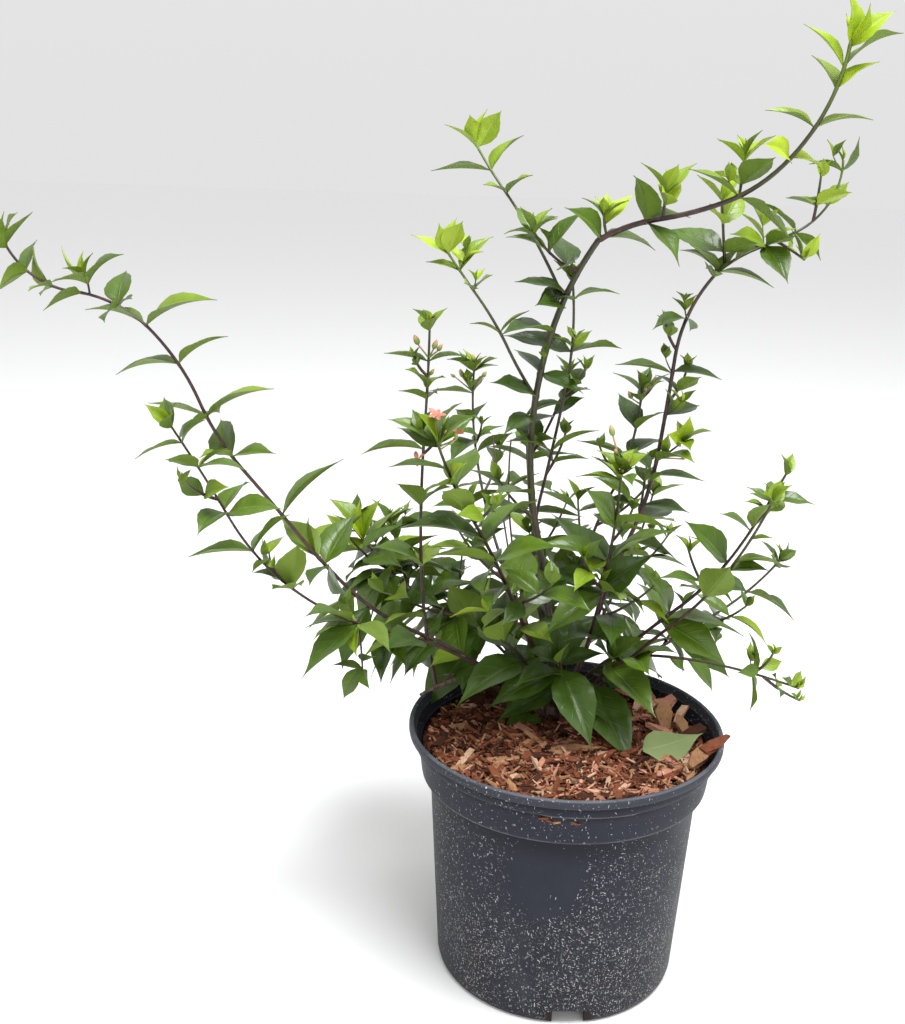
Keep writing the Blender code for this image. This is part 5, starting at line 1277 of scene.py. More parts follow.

# %% [markdown]
# ## Leaves that stand out
#
# Some leaves make the plant's likeness: the pairs along the open arch, the two large ones that
# hang over the mulch, the bright stars at the tips. They are listed one by one, and the rule of the
# leaves then fills in the rest round them. Each row is a place along the stem in mm, the
# heading, lift and roll of the leaf in degrees, its length in mm, its green, from 0 for deep to
# 3 for lime and 4 for a pale back, and where it isn't 0.46, its width as a share of its length.

# %% Leaves listed one by one
Named = namedtuple("Named", "at heading lift roll length green width", defaults=(0.46,))
NAMED_LEAVES = {
    "left_arch": (
        (50, 258, -4, 5, 38, 0), (64, 244, 8, -20, 36, 2), (84, 250, -14, -10, 40, 0),
        (88, 236, -30, 15, 40, 1), (108, 262, -34, 10, 44, 0), (118, 300, -28, -20, 40, 1),
        (130, 246, -48, -15, 44, 0), (140, 226, -20, 20, 38, 1), (68, 142, -30, -15, 38, 0),
        (145, 88, -59, 0, 30, 2), (165, 302, -10, 50, 34, 1), (167, 261, -7, -15, 28, 0),
        (168, 65, 38, 25, 40, 1, 0.52), (173, 142, 24, 25, 42, 4, 0.4), (176, 112, 34, -30, 30, 2),
        (207, 180, -49, 15, 27, 1), (208, 24, 41, -5, 50, 1), (254, 118, 28, 0, 34, 1, 0.58),
        (254, 244, 10, -20, 28, 2), (254, 334, 12, -20, 34, 1), (281, 92, -7, 15, 30, 1),
        (281, 256, -12, 0, 32, 1), (282, 0, 24, -20, 45, 2), (282, 180, 10, 35, 35, 1),
        (316, 0, 30, -15, 35, 2), (316, 180, -12, 20, 39, 1), (344, 0, 21, -15, 46, 2),
        (344, 180, 12, 40, 37, 1), (362, 94, 2, 20, 26, 1), (362, 273, -11, 5, 28, 1),
        (363, 99, 29, 35, 34, 1), (384, 247, -13, -5, 30, 1), (400, 141, -23, 0, 18, 2),
        (401, 259, -1, -35, 22, 2), (402, 136, 44, -10, 28, 2), (416, 263, -13, 10, 32, 1),
        (417, 99, 29, 20, 30, 1),
    ),
    "left_low": (
        (106, 175, -24, 40, 40, 0), (106, 248, 12, -45, 42, 0), (146, 276, -22, 15, 26, 2),
        (146, 312, -10, -40, 34, 4, 0.4), (147, 155, -29, 30, 38, 2), (148, 230, -30, -5, 46, 1),
        (150, 158, -18, 35, 36, 0), (152, 231, 19, -5, 36, 1), (193, 89, -16, 20, 22, 1),
        (193, 256, 19, -15, 26, 1), (193, 293, 60, -60, 38, 1), (201, 132, 37, -55, 30, 1),
        (204, 153, -5, 35, 20, 1), (226, 62, 24, -25, 34, 1), (226, 180, -9, 40, 38, 1),
        (252, 350, 11, -10, 34, 1), (253, 257, -7, -25, 32, 1), (255, 79, 14, 10, 32, 1),
        (283, 47, 23, -20, 20, 2), (283, 245, 21, -10, 26, 0), (283, 344, 4, -40, 30, 1),
        (299, 227, -10, 15, 28, 1), (299, 331, 40, 10, 24, 1),
    ),
    "low_right": (
        (61, 116, 21, 35, 30, 1), (67, 103, 5, 30, 30, 1), (88, 111, 17, 20, 40, 1),
        (89, 340, -26, 10, 48, 1), (92, 0, -10, -25, 50, 1), (96, 225, 53, -30, 40, 1),
        (121, 117, -14, 0, 24, 2), (122, 218, 28, 15, 24, 2), (144, 131, 15, 15, 32, 1),
        (145, 201, 43, -15, 40, 1), (169, 211, 30, 5, 26, 1), (171, 298, 46, 30, 30, 1),
        (189, 82, 21, 0, 22, 1, 0.4), (190, 180, 20, 0, 12, 1), (192, 0, -5, 5, 24, 1),
    ),
    "low_right_twin": (
        (126, 298, 50, 0, 36, 1, 0.52), (149, 0, 4, -10, 23, 1), (156, 0, -1, -40, 28, 1),
        (173, 0, 7, -10, 12, 2),
    ),
    "far_right": (
        (73, 284, 6, 30, 34, 1), (74, 317, 24, 0, 34, 0), (98, 0, -41, 0, 13, 1), (110, 0, -51, -10, 26, 1),
        (151, 0, -87, -35, 23, 1), (151, 180, 80, 35, 26, 1),
    ),
    "near_right": (
        (61, 57, -6, 10, 36, 0), (65, 243, 11, -10, 34, 0), (94, 214, -28, 0, 44, 1, 0.4),
        (96, 287, 11, -25, 36, 2), (97, 330, 44, 40, 42, 0), (99, 27, -34, -30, 36, 0),
        (111, 131, 21, 5, 56, 0, 0.4), (116, 180, 11, 20, 43, 1), (117, 0, 29, -30, 43, 1),
        (140, 231, 43, -35, 40, 1), (142, 319, 8, -25, 40, 1), (167, 133, 20, 35, 26, 2),
        (167, 180, 3, 20, 25, 2), (169, 283, 5, 5, 26, 1),
    ),
    "right_cane": (
        (127, 50, -2, -5, 38, 1), (155, 0, -4, -10, 31, 1), (164, 309, 11, -5, 34, 2),
        (192, 49, 3, 0, 34, 0), (218, 180, 6, 15, 34, 1), (219, 0, -7, 0, 29, 0), (251, 226, -8, 5, 30, 1),
        (252, 271, -11, -20, 24, 1),
    ),
    "high_whip": (
        (41, 311, 29, 10, 24, 2), (42, 225, 3, 0, 22, 2), (71, 324, 31, 0, 22, 2),
        (73, 230, 12, -20, 18, 2), (88, 39, 42, 10, 30, 2), (88, 180, -2, 5, 35, 1),
        (102, 180, 34, 10, 25, 3, 0.42), (104, 336, 54, -66, 26, 3, 0.5), (107, 60, 60, 0, 22, 3),
        (107, 250, 62, -10, 18, 3, 0.5),
    ),
    "low_whip": (
        (43, 180, 16, 25, 19, 2), (44, 0, 39, -20, 21, 2), (73, 260, 17, -40, 20, 2),
        (73, 308, 29, 0, 22, 2), (86, 42, 39, 0, 30, 2, 0.42), (86, 180, 13, 0, 20, 2, 0.42),
        (97, 182, 26, 0, 24, 3, 0.42), (98, 318, 58, -50, 22, 3, 0.56), (100, 60, 62, 0, 20, 3),
        (100, 240, 64, -10, 17, 3, 0.5),
    ),
    "main_arch": (
        (2, 217, 33, -35, 32, 1), (3, 30, -12, -15, 36, 1), (28, 40, 3, -5, 34, 1),
        (28, 251, 43, 25, 38, 1), (28, 307, -34, 5, 38, 1), (80, 180, 26, 15, 31, 2),
        (80, 330, -34, -15, 40, 1), (112, 233, 15, -30, 30, 3), (113, 41, -13, 0, 28, 3),
        (132, 0, 9, -15, 30, 2), (132, 180, 17, 10, 28, 2), (153, 0, 35, 0, 25, 3),
        (153, 113, 34, 5, 32, 2), (164, 180, 43, -10, 31, 3), (165, 23, 28, -45, 38, 2),
        (174, 0, 41, 15, 28, 3), (174, 200, 78, -20, 32, 3, 0.52), (177, 330, 66, 0, 20, 3, 0.5),
    ),
    "right_fork": (
        (0, 0, -14, -5, 34, 1), (0, 143, 20, -10, 30, 1), (0, 209, 37, 15, 26, 2),
        (32, 224, -17, 25, 28, 2), (33, 218, 14, -25, 30, 2), (33, 294, -34, 45, 34, 1),
        (33, 303, 16, 5, 28, 2), (53, 0, -43, -30, 23, 1), (54, 180, 36, 0, 29, 2),
        (79, 20, 48, 0, 18, 2, 0.58), (79, 200, 14, 30, 16, 1, 0.4), (100, 180, 10, 10, 20, 2),
        (100, 0, 68, -10, 21, 1, 0.56), (105, 180, 55, 0, 10, 2),
    ),
    "main_stem": (
        (70, 79, 19, -5, 44, 0, 0.4), (71, 251, 51, -15, 36, 0), (139, 234, 11, 5, 36, 1),
        (198, 223, 19, -20, 36, 0), (237, 226, 2, 0, 40, 0), (253, 243, 6, -25, 30, 0),
        (261, 215, 12, -10, 36, 0),
    ),
    "rim_riser": (
        (47, 230, 6, 20, 34, 2), (80, 75, 10, 0, 30, 2), (80, 226, 28, -25, 42, 1),
        (118, 238, 39, 10, 30, 2), (119, 53, 12, -30, 28, 1), (153, 180, -8, 25, 38, 1),
        (183, 80, -3, 0, 22, 1), (183, 233, 19, 10, 24, 1), (189, 67, 9, -20, 22, 2),
        (189, 236, 36, -15, 24, 2), (205, 0, 11, -20, 21, 1), (205, 180, 8, 25, 26, 1),
    ),
    "bud_cane": (
        (190, 0, 31, -10, 31, 0), (198, 67, 2, -10, 26, 1), (199, 246, -15, -25, 36, 0),
        (212, 70, 24, -10, 24, 0), (212, 237, 30, 5, 24, 0), (232, 71, 22, -10, 20, 1),
        (232, 180, 0, 0, 31, 2), (248, 51, 16, -10, 24, 2), (248, 200, 23, 10, 22, 1),
    ),
    "front_cane": (
        (73, 305, 2, 0, 32, 2), (74, 61, 18, -45, 30, 2), (86, 238, -2, 25, 34, 2), (97, 79, 22, 0, 46, 1),
        (105, 257, -5, 25, 34, 1), (126, 216, 14, 30, 44, 2), (127, 334, 23, -15, 44, 1),
        (143, 207, 14, 10, 54, 0), (144, 48, 21, -25, 46, 1), (165, 59, -7, -10, 24, 2),
        (166, 241, 36, 35, 34, 1), (189, 79, 17, 0, 42, 1), (190, 243, 6, 20, 26, 1),
        (192, 302, 42, 30, 22, 3), (201, 180, -1, 45, 32, 1), (219, 71, 28, -40, 34, 1),
        (219, 180, 22, 20, 29, 1),
    ),
    "middle_cane": (
        (164, 219, 17, -10, 36, 1), (165, 0, 27, -25, 31, 0), (195, 57, 8, -25, 30, 0),
        (195, 180, -26, 5, 28, 0), (226, 35, 0, -15, 36, 0), (226, 180, 11, -10, 41, 0),
        (256, 231, -1, -10, 34, 0), (257, 0, 8, -15, 27, 0),
    ),
    "back_right": (
        (163, 43, 9, -10, 36, 0), (163, 180, 16, 0, 33, 1), (165, 295, -5, 10, 32, 0),
        (181, 113, 30, 0, 34, 0), (181, 313, 34, 5, 28, 1), (199, 56, 25, -20, 28, 1),
        (199, 250, 24, 15, 20, 2),
    ),
    "left_thin": (
        (116, 63, 22, 35, 40, 0), (123, 322, 25, 20, 34, 1), (146, 239, 11, 50, 30, 1),
        (169, 307, -34, -35, 30, 1), (176, 86, 23, -5, 26, 2),
    ),
    "left_rise": (
        (61, 271, -7, 25, 28, 0), (65, 222, 55, 5, 46, 0), (76, 140, -33, -10, 26, 4),
        (83, 284, -22, 10, 42, 1), (87, 134, -38, -50, 36, 0), (110, 130, -28, -40, 38, 0, 0.52),
        (123, 186, -82, 40, 32, 4), (125, 246, -33, -10, 32, 0), (133, 225, -55, 0, 35, 4),
        (137, 179, -57, -60, 42, 1), (139, 228, -14, -15, 36, 1), (155, 328, 4, 5, 34, 1),
        (159, 195, -7, -25, 32, 2), (163, 24, 42, 0, 37, 2), (163, 178, 39, 0, 30, 3),
        (165, 44, 62, 20, 31, 2), (165, 117, 73, 5, 28, 3),
    ),
    "left_arch_twig": (
        (6, 250, 7, -30, 30, 1), (6, 338, 34, 0, 34, 1), (10, 116, 50, -10, 18, 3),
        (10, 180, 51, -50, 22, 3), (10, 234, 22, -15, 16, 3), (10, 318, 55, 10, 18, 3),
    ),
    "left_hanging_twig": (
        (22, 81, -14, 35, 20, 1), (26, 180, -62, -10, 24, 1), (26, 190, 6, 30, 18, 1),
        (27, 295, -16, 0, 18, 1, 0.4),
    ),
    "left_low_twig": (
        (9, 251, -4, 0, 18, 1), (13, 79, 12, 5, 20, 2), (13, 271, 46, 15, 16, 2),
    ),
    "front_twig": (
        (21, 99, 44, -45, 26, 3), (21, 196, -4, 30, 26, 3), (21, 259, -5, 10, 18, 3),
    ),
    "right_cane_twig": (
        (18, 97, 31, 10, 20, 3), (18, 236, 26, -40, 20, 3), (19, 0, 78, -30, 17, 3, 0.52),
        (19, 280, 0, 30, 22, 2), (19, 317, 28, 15, 24, 2),
    ),
}
# Stems whose leaves are all listed up to the tip
HAND_SET = {
    "left_arch", "left_low", "rim_riser", "bud_cane", "front_cane", "middle_cane", "near_right",
    "back_right", "right_cane", "right_fork", "high_whip", "low_whip", "main_arch", "low_right",
    "low_right_twin", "far_right",
}
# How many of a tip's outer pairs are listed as well
HAND_TIPS = {
    "main_arch": 2, "high_whip": 2, "low_whip": 2, "low_right": 1, "left_rise": 2, "left_thin": 1,
    "right_fork": 3,
}
print("leaves set by hand:", sum(len(rows) for rows in NAMED_LEAVES.values()))

# %% [markdown]
# ## Habits
#
# No two shoots of a shrub grow alike: those in the light are long and lime at their tips, those
# in the low shade dense and dark. A short row for each stem tells how it differs from the plain
# habit, and the groups tell which stems share one mesh.

# %% Groups and habits
GROUPS = {
    "left": (
        "left_arch", "left_low", "left_rise", "left_thin", "rim_riser", "left_arch_twig",
        "left_hanging_twig", "left_low_twig",
    ),
    "centre": ("main_stem", "main_arch", "middle_cane", "high_whip", "low_whip", "main_left", "main_back"),
    "front": (
        "bud_cane", "front_cane", "arch_near", "arch_middle", "arch_back", "right_cane", "right_fork",
        "front_twig", "right_cane_twig",
    ),
    "right": ("near_right", "back_right", "low_right", "low_right_twin", "far_right"),
    "low": ("low_front", "low_left", "low_back", "low_near", "back_left", "back_low", "right_low_back"),
}
# For each stem: shares of the table's gaps and leaf sizes, the chance of a sprig at a node, how
# fresh its green is and its age from foot to tip
Habit = namedtuple("Habit", "gap size sprigs fresh ages", defaults=((0.2, 0.85),))
PLAIN_HABIT = Habit(0.76, 1.06, 0.55, 0.45)
HABITS = {
    "left_arch": Habit(1.0, 1.4, 0.0, 0.9, (0.2, 0.55)),
    "left_low": Habit(0.85, 1.08, 0.25, 0.45, (0.2, 0.7)),
    "left_rise": Habit(0.8, 1.22, 0.3, 0.5),
    "left_thin": Habit(0.8, 1.22, 0.3, 0.3),
    "rim_riser": Habit(0.85, 1.0, 0.6, 0.8, (0.25, 0.8)),
    "main_stem": Habit(1.0, 1.0, 0.35, 0.1, (0.66, 0.74)),
    "main_arch": Habit(1.0, 1.1, 0.3, 1.5, (0.36, 1.0)),
    "high_whip": Habit(0.95, 1.0, 0.25, 1.7, (0.66, 0.98)),
    "low_whip": Habit(0.95, 1.0, 0.25, 1.7, (0.66, 0.98)),
    "arch_near": Habit(1.0, 1.2, 0.2, 1.9, (0.66, 1.0)),
    "arch_middle": Habit(1.0, 1.1, 0.2, 1.9, (0.66, 1.0)),
    "arch_back": Habit(1.0, 1.1, 0.2, 1.8, (0.66, 1.0)),
    "right_cane": Habit(0.95, 1.05, 0.45, 0.7, (0.18, 0.66)),
    "right_fork": Habit(1.0, 1.4, 0.5, 1.8, (0.58, 1.0)),
    "far_right": Habit(1.15, 0.9, 0.2, 0.9, (0.3, 0.9)),
    "low_right": Habit(0.9, 1.0, 0.35, 0.7, (0.2, 0.8)),
    "low_right_twin": Habit(0.9, 1.0, 0.35, 0.7, (0.2, 0.8)),
    "main_back": Habit(0.9, 0.8, 0.3, 0.3),
    "right_low_back": Habit(1.0, 0.85, 0.3, 0.45),
    "low_front": Habit(0.9, 1.1, 0.3, -0.6),
    "low_near": Habit(0.9, 1.1, 0.3, -0.5),
    "low_left": Habit(0.85, 1.1, 0.4, -0.3),
    "low_back": Habit(0.85, 1.1, 0.4, -0.3),
}
# Pairs of leaves on bare wood, which the plain solids leave out
BARE_PAIRS = {
    "main_stem": (186, 225, (26, 22), (30, 30), 20, 40, -4),
}
print("stems with a habit of their own:", len(HABITS))

# %% [markdown]
# ## Growing it
#
# The listed leaves are placed first, for all stems, so that the rule has to grow round
# them. They differ a little from one another by chance from a fixed seed. Each one makes a node
# on its stem, where the bark swells, unless one is there already.

# %% Place the listed leaves
# Ranges of their width and fold, and how much of a ruled leaf's bend they keep
HAND_WIDTH, HAND_FOLD, HAND_BEND = (1.0, 1.12), (0.4, 0.75), 0.75
BLADE_WIDTH, NODE_APART = 0.44, 4 * MM


def hand_leaves(name, stem):
    """The listed leaves of one stem."""
    rng = random.Random(f"{SEED} {name} by hand")
    path, rows = paths[name], list(NAMED_LEAVES.get(name, ()))
    rows += [(one.at, one.heading, one.lift, 0, one.length, 0, BLADE_WIDTH) for one in stem.blades]
    leaves, faces = [], grid_faces(*TEST_GRID)
    for row in itertools.starmap(Named, rows):
        at, size = row.at * MM, row.length * MM
        tangent, thick = path.tangent(at), path.radius(at)
        leaf = Leaf(path.at(at), thick, tangent, row.heading, row.lift, row.roll, size, 0.0, rng)
        leaf.width = row.width * rng.uniform(*HAND_WIDTH)
        leaf.fold = rng.uniform(*HAND_FOLD)
        leaf.bend *= HAND_BEND
        leaf.green = row.green
        room.add(leaf.surface(TEST_GRID, TEST_START, toothed=False), faces)
        leaves.append(leaf)
        if all(abs(at - node) > NODE_APART for node in path.nodes):
            path.nodes.append(at)
    return leaves


by_hand = {name: hand_leaves(name, stem) for name, stem in STEMS.items()}
print("placed by hand:", sum(len(leaves) for leaves in by_hand.values()), "leaves")

# %% [markdown]
# The rule now runs over the table, group by group. Side shoots come from the table too, and
# sprigs are dealt out by chance at the nodes. Every shoot has a seed of its own, so that a
# change to one leaves the others as they are.

# %% Grow the shoots
Twig = namedtuple("Twig", "path size ages")
# Thickness from foot to tip in mm and age from foot to tip, of side shoots and of sprigs
SIDE_THICK, SIDE_AGES = (2.0, 1.3), (0.45, 0.95)
SPRIG_THICK, SPRIG_AGES = (1.0, 0.6), (0.7, 1.0)
# Bare length and gaps in mm, and turn, spread and lift in degrees of their pairs
SIDE_BARE, SIDE_GAPS, SIDE_TURNS, SIDE_FALL = 9, (17, 14), (50.0, 45.0, 6.0), 0.82
SPRIG_BARE, SPRIG_GAPS, SPRIG_TURNS = 6, (9, 9), (40.0, 45.0, 20.0)
# How a sprig leaves its stem in degrees, and its length and leaf size in mm
SPRIG_SIDES, SPRIG_SWING, SPRIG_LEANS = (60, -60, 120, -120), 25, (35, 75)
SPRIG_LENGTHS, SPRIG_SIZES = (5, 15), (11, 20)


def sprig(path, node, rng):
    """A short twig out of an axil."""
    turn = path.heading + rng.choice(SPRIG_SIDES) + rng.uniform(-SPRIG_SWING, SPRIG_SWING)
    length = rng.uniform(*SPRIG_LENGTHS) * MM
    lean = rng.uniform(*SPRIG_LEANS)
    return Path(path.at(node), turn, length, (lean, lean * 0.5), SPRIG_THICK)


def grow(name, stem, placed):
    """All the leaves and twigs of one stem, from those that are there already."""
    rng = random.Random(f"{SEED} {name}")
    path, pairs, habit = paths[name], stem.pairs, HABITS.get(name, PLAIN_HABIT)
    twigs = []
    for side in stem.sides:
        foot, turn = path.at(side.at * MM), stem.heading + side.turn
        shoot = Path(foot, turn, side.length * MM, side.leans, SIDE_THICK)
        twigs.append(Twig(shoot, side.size * habit.size, SIDE_AGES))
    if name in BARE_PAIRS:
        first, last, *rule = BARE_PAIRS[name]
        placed += place_leaves(stem_leaves(path, first * MM, last * MM, *rule, (), rng), rng)
    if pairs:
        gaps = [gap * habit.gap for gap in pairs.gaps]
        sizes = [size * habit.size for size in pairs.sizes]
        rule = gaps, sizes, pairs.turn, pairs.spread, pairs.lift, TIP_PAIRS[HAND_TIPS.get(name, 0):]
        first = path.length if name in HAND_SET else pairs.first * MM
        placed += place_leaves(stem_leaves(path, first, path.length, *rule, rng), rng)
    for twig in twigs:
        sizes = (twig.size, twig.size * SIDE_FALL)
        rule = SIDE_GAPS, sizes, *SIDE_TURNS, TIP_PAIRS[1:]
        leaves = stem_leaves(twig.path, SIDE_BARE * MM, twig.path.length, *rule, rng)
        placed += place_leaves(leaves, rng)
    for node in path.nodes[1:]:
        if rng.random() < habit.sprigs:
            twig = sprig(path, node, rng)
            size = rng.uniform(*SPRIG_SIZES) * habit.size
            rule = SPRIG_GAPS, (size, size), *SPRIG_TURNS, SPRIG_TIP
            leaves = stem_leaves(twig, SPRIG_BARE * MM, twig.length, *rule, rng)
            leaves = place_leaves(leaves, rng)
            if leaves:
                twigs.append(Twig(twig, size, SPRIG_AGES))
            placed += leaves
    return placed, twigs


grown = {}
for names in GROUPS.values():
    for name in names:
        grown[name] = grow(name, STEMS[name], by_hand[name])
for group, names in GROUPS.items():
    print(group, "leaves:", sum(len(grown[name][0]) for name in names))

# %% [markdown]
# ## Leaf colour
#
# A leaf's colour tells its age: tips are yellow-green, grown leaves a deep shining green, and
# the undersides paler and dull, with painted light shining through them in a saturated lime
# green. Four plain greens are dealt out leaf by leaf, by spray and age.
# Each sheet adds what a real leaf shows close up: a pale midrib, side veins that run to the
# teeth, and small differences from leaf to leaf. The veins come from the place on the leaf.

# %% Leaf materials
def leaf_sheet(name, dark, light, rib, roughness, coat, raised):
    sheet = Sheet(name, coat_weight=coat, coat_roughness=0.2, specular_ior_level=0.34)
    where = sheet.place()
    across, along, _ = sheet.split(sheet.place("UV"))
    aside = abs(across - 0.5) * 2.0
    vein = abs((along * 6.0 - aside * 1.3) % 1.0 - 0.5) * 2.0
    vein = vein.ramp(0.86, 1.0) * aside.ramp(0.95, 0.5)
    midrib = aside.ramp(0.08, 0.02) * along.ramp(1.0, 0.5)
    chance = sheet.node("ShaderNodeNewGeometry", output="Random Per Island")
    cloud = sheet.noise(where, 75.0, 2.0)
    body = sheet.mix(chance * 0.6 + cloud.ramp(0.3, 0.7) * 0.4, dark, light)
    body = sheet.mix(vein * 0.1, body, rib)
    sheet.set(base_color=sheet.mix(midrib * 0.35, body, rib))
    sheet.set(roughness=cloud.ramp(0.3, 0.7, roughness - 0.06, roughness + 0.1))
    ribs = (vein + midrib * 1.5) * raised
    sheet.bump(ribs + sheet.noise(where, 130.0, 1.0) * 4.0, 0.0002)
    return sheet


# Colours of a dark and a light leaf and of the veins, roughness, coat and how far veins stand out
LEAF_FINISHES = (
    ("deep green leaf", (0.024, 0.054, 0.003), (0.046, 0.092, 0.006), (0.11, 0.17, 0.03), 0.38, 0.22, -0.9),
    ("mid green leaf", (0.044, 0.088, 0.004), (0.08, 0.14, 0.008), (0.16, 0.24, 0.04), 0.38, 0.22, -0.9),
    ("fresh green leaf", (0.115, 0.19, 0.006), (0.19, 0.275, 0.01), (0.28, 0.38, 0.05), 0.42, 0.14, -0.6),
    ("lime young leaf", (0.21, 0.315, 0.008), (0.31, 0.41, 0.014), (0.5, 0.6, 0.09), 0.48, 0.06, -0.2),
    # The undersides: paler green, with painted light shining through them
    ("mid underside", (0.1, 0.165, 0.014), (0.15, 0.22, 0.026), (0.21, 0.3, 0.06), 0.6, 0.0, 0.7),
    ("lime underside", (0.23, 0.335, 0.02), (0.31, 0.41, 0.034), (0.48, 0.57, 0.1), 0.55, 0.0, 0.3),
    ("pale fallen leaf", (0.15, 0.195, 0.07), (0.19, 0.235, 0.095), (0.3, 0.33, 0.15), 0.65, 0.0, 0.7),
)
leaf_sheets = [leaf_sheet(*finish) for finish in LEAF_FINISHES]
print("leaf finishes:", [finish[0] for finish in LEAF_FINISHES])

# %% [markdown]
# Each leaf is built twice, as a face and as an underside a third of a millimetre below it, on a
# grid that is finer for larger leaves. Its finish comes from its age, the freshness of its
# spray and a little chance, and the underside takes its paler finish with painted backlight.

# %% Build the leaves
LIME, FIRST_UNDERSIDE = 3, 4
# How much its youth and how much chance freshen a leaf, and how much chance freshens a spray
YOUTH_SHARE, CHANCE_SHARE, SPRAY_SHARE = 2.4, 0.45, 0.15
SMALL_LEAF, MIDDLE_LEAF = 14 * MM, 26 * MM


def tint(leaf, fresh, rng):
    """Which finish a leaf's face gets, by its age and the freshness of its spray."""
    if leaf.green is not None:
        return leaf.green
    measure = leaf.youth * YOUTH_SHARE + fresh + rng.uniform(-CHANCE_SHARE, CHANCE_SHARE)
    return int(min(max(measure, 0), LIME))


def add_leaf(heap, leaf, slot, under=None):
    """Face and underside of one leaf, with the underside's finish by its face's."""
    grid = BIG_GRID
    if leaf.length < MIDDLE_LEAF:
        grid = SMALL_GRID if leaf.length < SMALL_LEAF else MIDDLE_GRID
    under = under or FIRST_UNDERSIDE + (slot == LIME)
    places, faces = leaf_places(grid), grid_faces(*grid)
    heap.add(leaf.surface(grid), faces, places, slot)
    heap.add(leaf.surface(grid, sunk=LEAF_THICK), faces[:, [0, 3, 2, 1]], places, under)


for group, names in GROUPS.items():
    heap, replaced = Heap(), []
    for name in names:
        rng = random.Random(f"{SEED} {name} tint")
        fresh = HABITS.get(name, PLAIN_HABIT).fresh + rng.uniform(-SPRAY_SHARE, SPRAY_SHARE)
        for leaf in grown[name][0]:
            add_leaf(heap, leaf, tint(leaf, fresh, rng))
        solids = STEMS[name].solids
        if STEMS[name].pairs:
            replaced += [solid for solid, _ in (solids if len(solids) == 1 else solids[1:])]
    heap.build("leaves_" + group, leaf_sheets, replaced, "foliage")

# %% [markdown]
# ## Stems and bark
#
# Young abelia wood is a smooth red-brown or maroon rod that swells at each pair of leaves and
# turns olive, then green, towards its tip. Old wood is grey-brown and splits along its length.
# The tubes carry their age as a place on the surface, and one colour ramp follows it.

# %% Bark material
bark = Sheet("bark", roughness=0.5)
_, age, _ = bark.split(bark.place("UV"))
grain = bark.noise(bark.stretch(bark.place(), (1.0, 1.0, 0.22)), 900.0, 4.0, 0.6)
patches = bark.noise(bark.place(), 160.0, 2.0)
old = bark.mix(grain.ramp(0.3, 0.7), (0.034, 0.023, 0.016), (0.17, 0.125, 0.088))
red = bark.mix(patches.ramp(0.35, 0.65), (0.020, 0.0075, 0.007), (0.056, 0.020, 0.015))
olive = bark.mix(patches, (0.030, 0.026, 0.010), (0.050, 0.050, 0.012))
green = bark.mix(patches, (0.075, 0.115, 0.010), (0.13, 0.19, 0.02))
colour = bark.mix((age + patches * 0.2 - 0.1).ramp(0.1, 0.26), old, red)
colour = bark.mix((age + patches * 0.2 - 0.1).ramp(0.55, 0.75), colour, olive)
colour = bark.mix(age.ramp(0.8, 1.0), colour, green)
bark.set(base_color=colour, roughness=age.ramp(0.1, 0.4, 0.8, 0.42))
bark.bump(grain * (1.1 - age), 0.0004)
print("bark:", len(bark.tree.nodes), "nodes")

# %% [markdown]
# Every stem is one tube, cut where its bare wood ends and its leafy shoot begins, so that each
# length takes the place of its own solid. Fine twigs have fewer sides and less relief.

# %% Build the stems
RING_STEP = 1.9 * MM
# Sides and relief of bare wood, of leafy shoots and of twigs
WOOD_TUBE, SHOOT_TUBE, TWIG_TUBE = (11, 0.05), (9, 0.03), (7, 0.02)
# Stems that are dead or old from end to end
OLD_WOOD, OLD_AGES = ("rim_root", "rim_prong", "rim_splinter", "dead_left", "dead_right"), (0.0, 0.12)


def ring_places(ages, sides):
    """A place for each point of a tube: how far round it is and the age of its ring."""
    return np.stack([np.tile(np.arange(sides) / sides, len(ages)), np.repeat(ages, sides)], -1)


def tube_into(heap, path, start, end, ages, sides, relief):
    """A stretch of stem with its rings, its age along it and a rounded tip."""
    points = tube(path, start, end, sides, RING_STEP, relief)
    rows = len(points) // sides
    share = np.linspace(start, end, rows) / path.length
    places = ring_places(np.interp(share, (0, 1), ages), sides)
    if end > path.length - MM:
        centre = points[-sides:].mean(0) + np.array(path.tangent(end)) * path.radius(end) * 0.8
        last = points[-sides:] * 0.35 + centre * 0.65
        points = np.concatenate([points, last])
        places = np.concatenate([places, places[-sides:]])
        rows += 1
    heap.add(points, grid_faces(rows, sides, closed=True), places, 0)


limbs, shoots, bare, leafy = Heap(), Heap(), [], []
for name, stem in STEMS.items():
    path, ages = paths[name], HABITS.get(name, PLAIN_HABIT).ages
    if name in OLD_WOOD:
        ages = OLD_AGES
    split = path.length
    if stem.pairs:
        split = stem.solids[0][1] * path.length if len(stem.solids) > 1 else 0.0
    if split > 0:
        tube_into(limbs, path, 0.0, split, ages, *WOOD_TUBE)
    if split < path.length:
        tube_into(shoots, path, split, path.length, ages, *SHOOT_TUBE)
    bare += [solid for solid, end in stem.solids if end * path.length <= split + MM]
    leafy += [solid for solid, end in stem.solids if end * path.length > split + MM]
for _, twigs in grown.values():
    for twig in twigs:
        tube_into(shoots, twig.path, 0.0, twig.path.length, twig.ages, *TWIG_TUBE)
limbs.build("woody_limbs", [bark], bare, "bark")
shoots.build("shoot_stems", [bark], leafy, "foliage")

# %% [markdown]
# ## What lies on the mulch
#
# One grown leaf has fallen and lies underside up at the front right, and a smaller one has
# sunk in among the bark beside the stems. They are the same leaf formula, laid flat one by one.

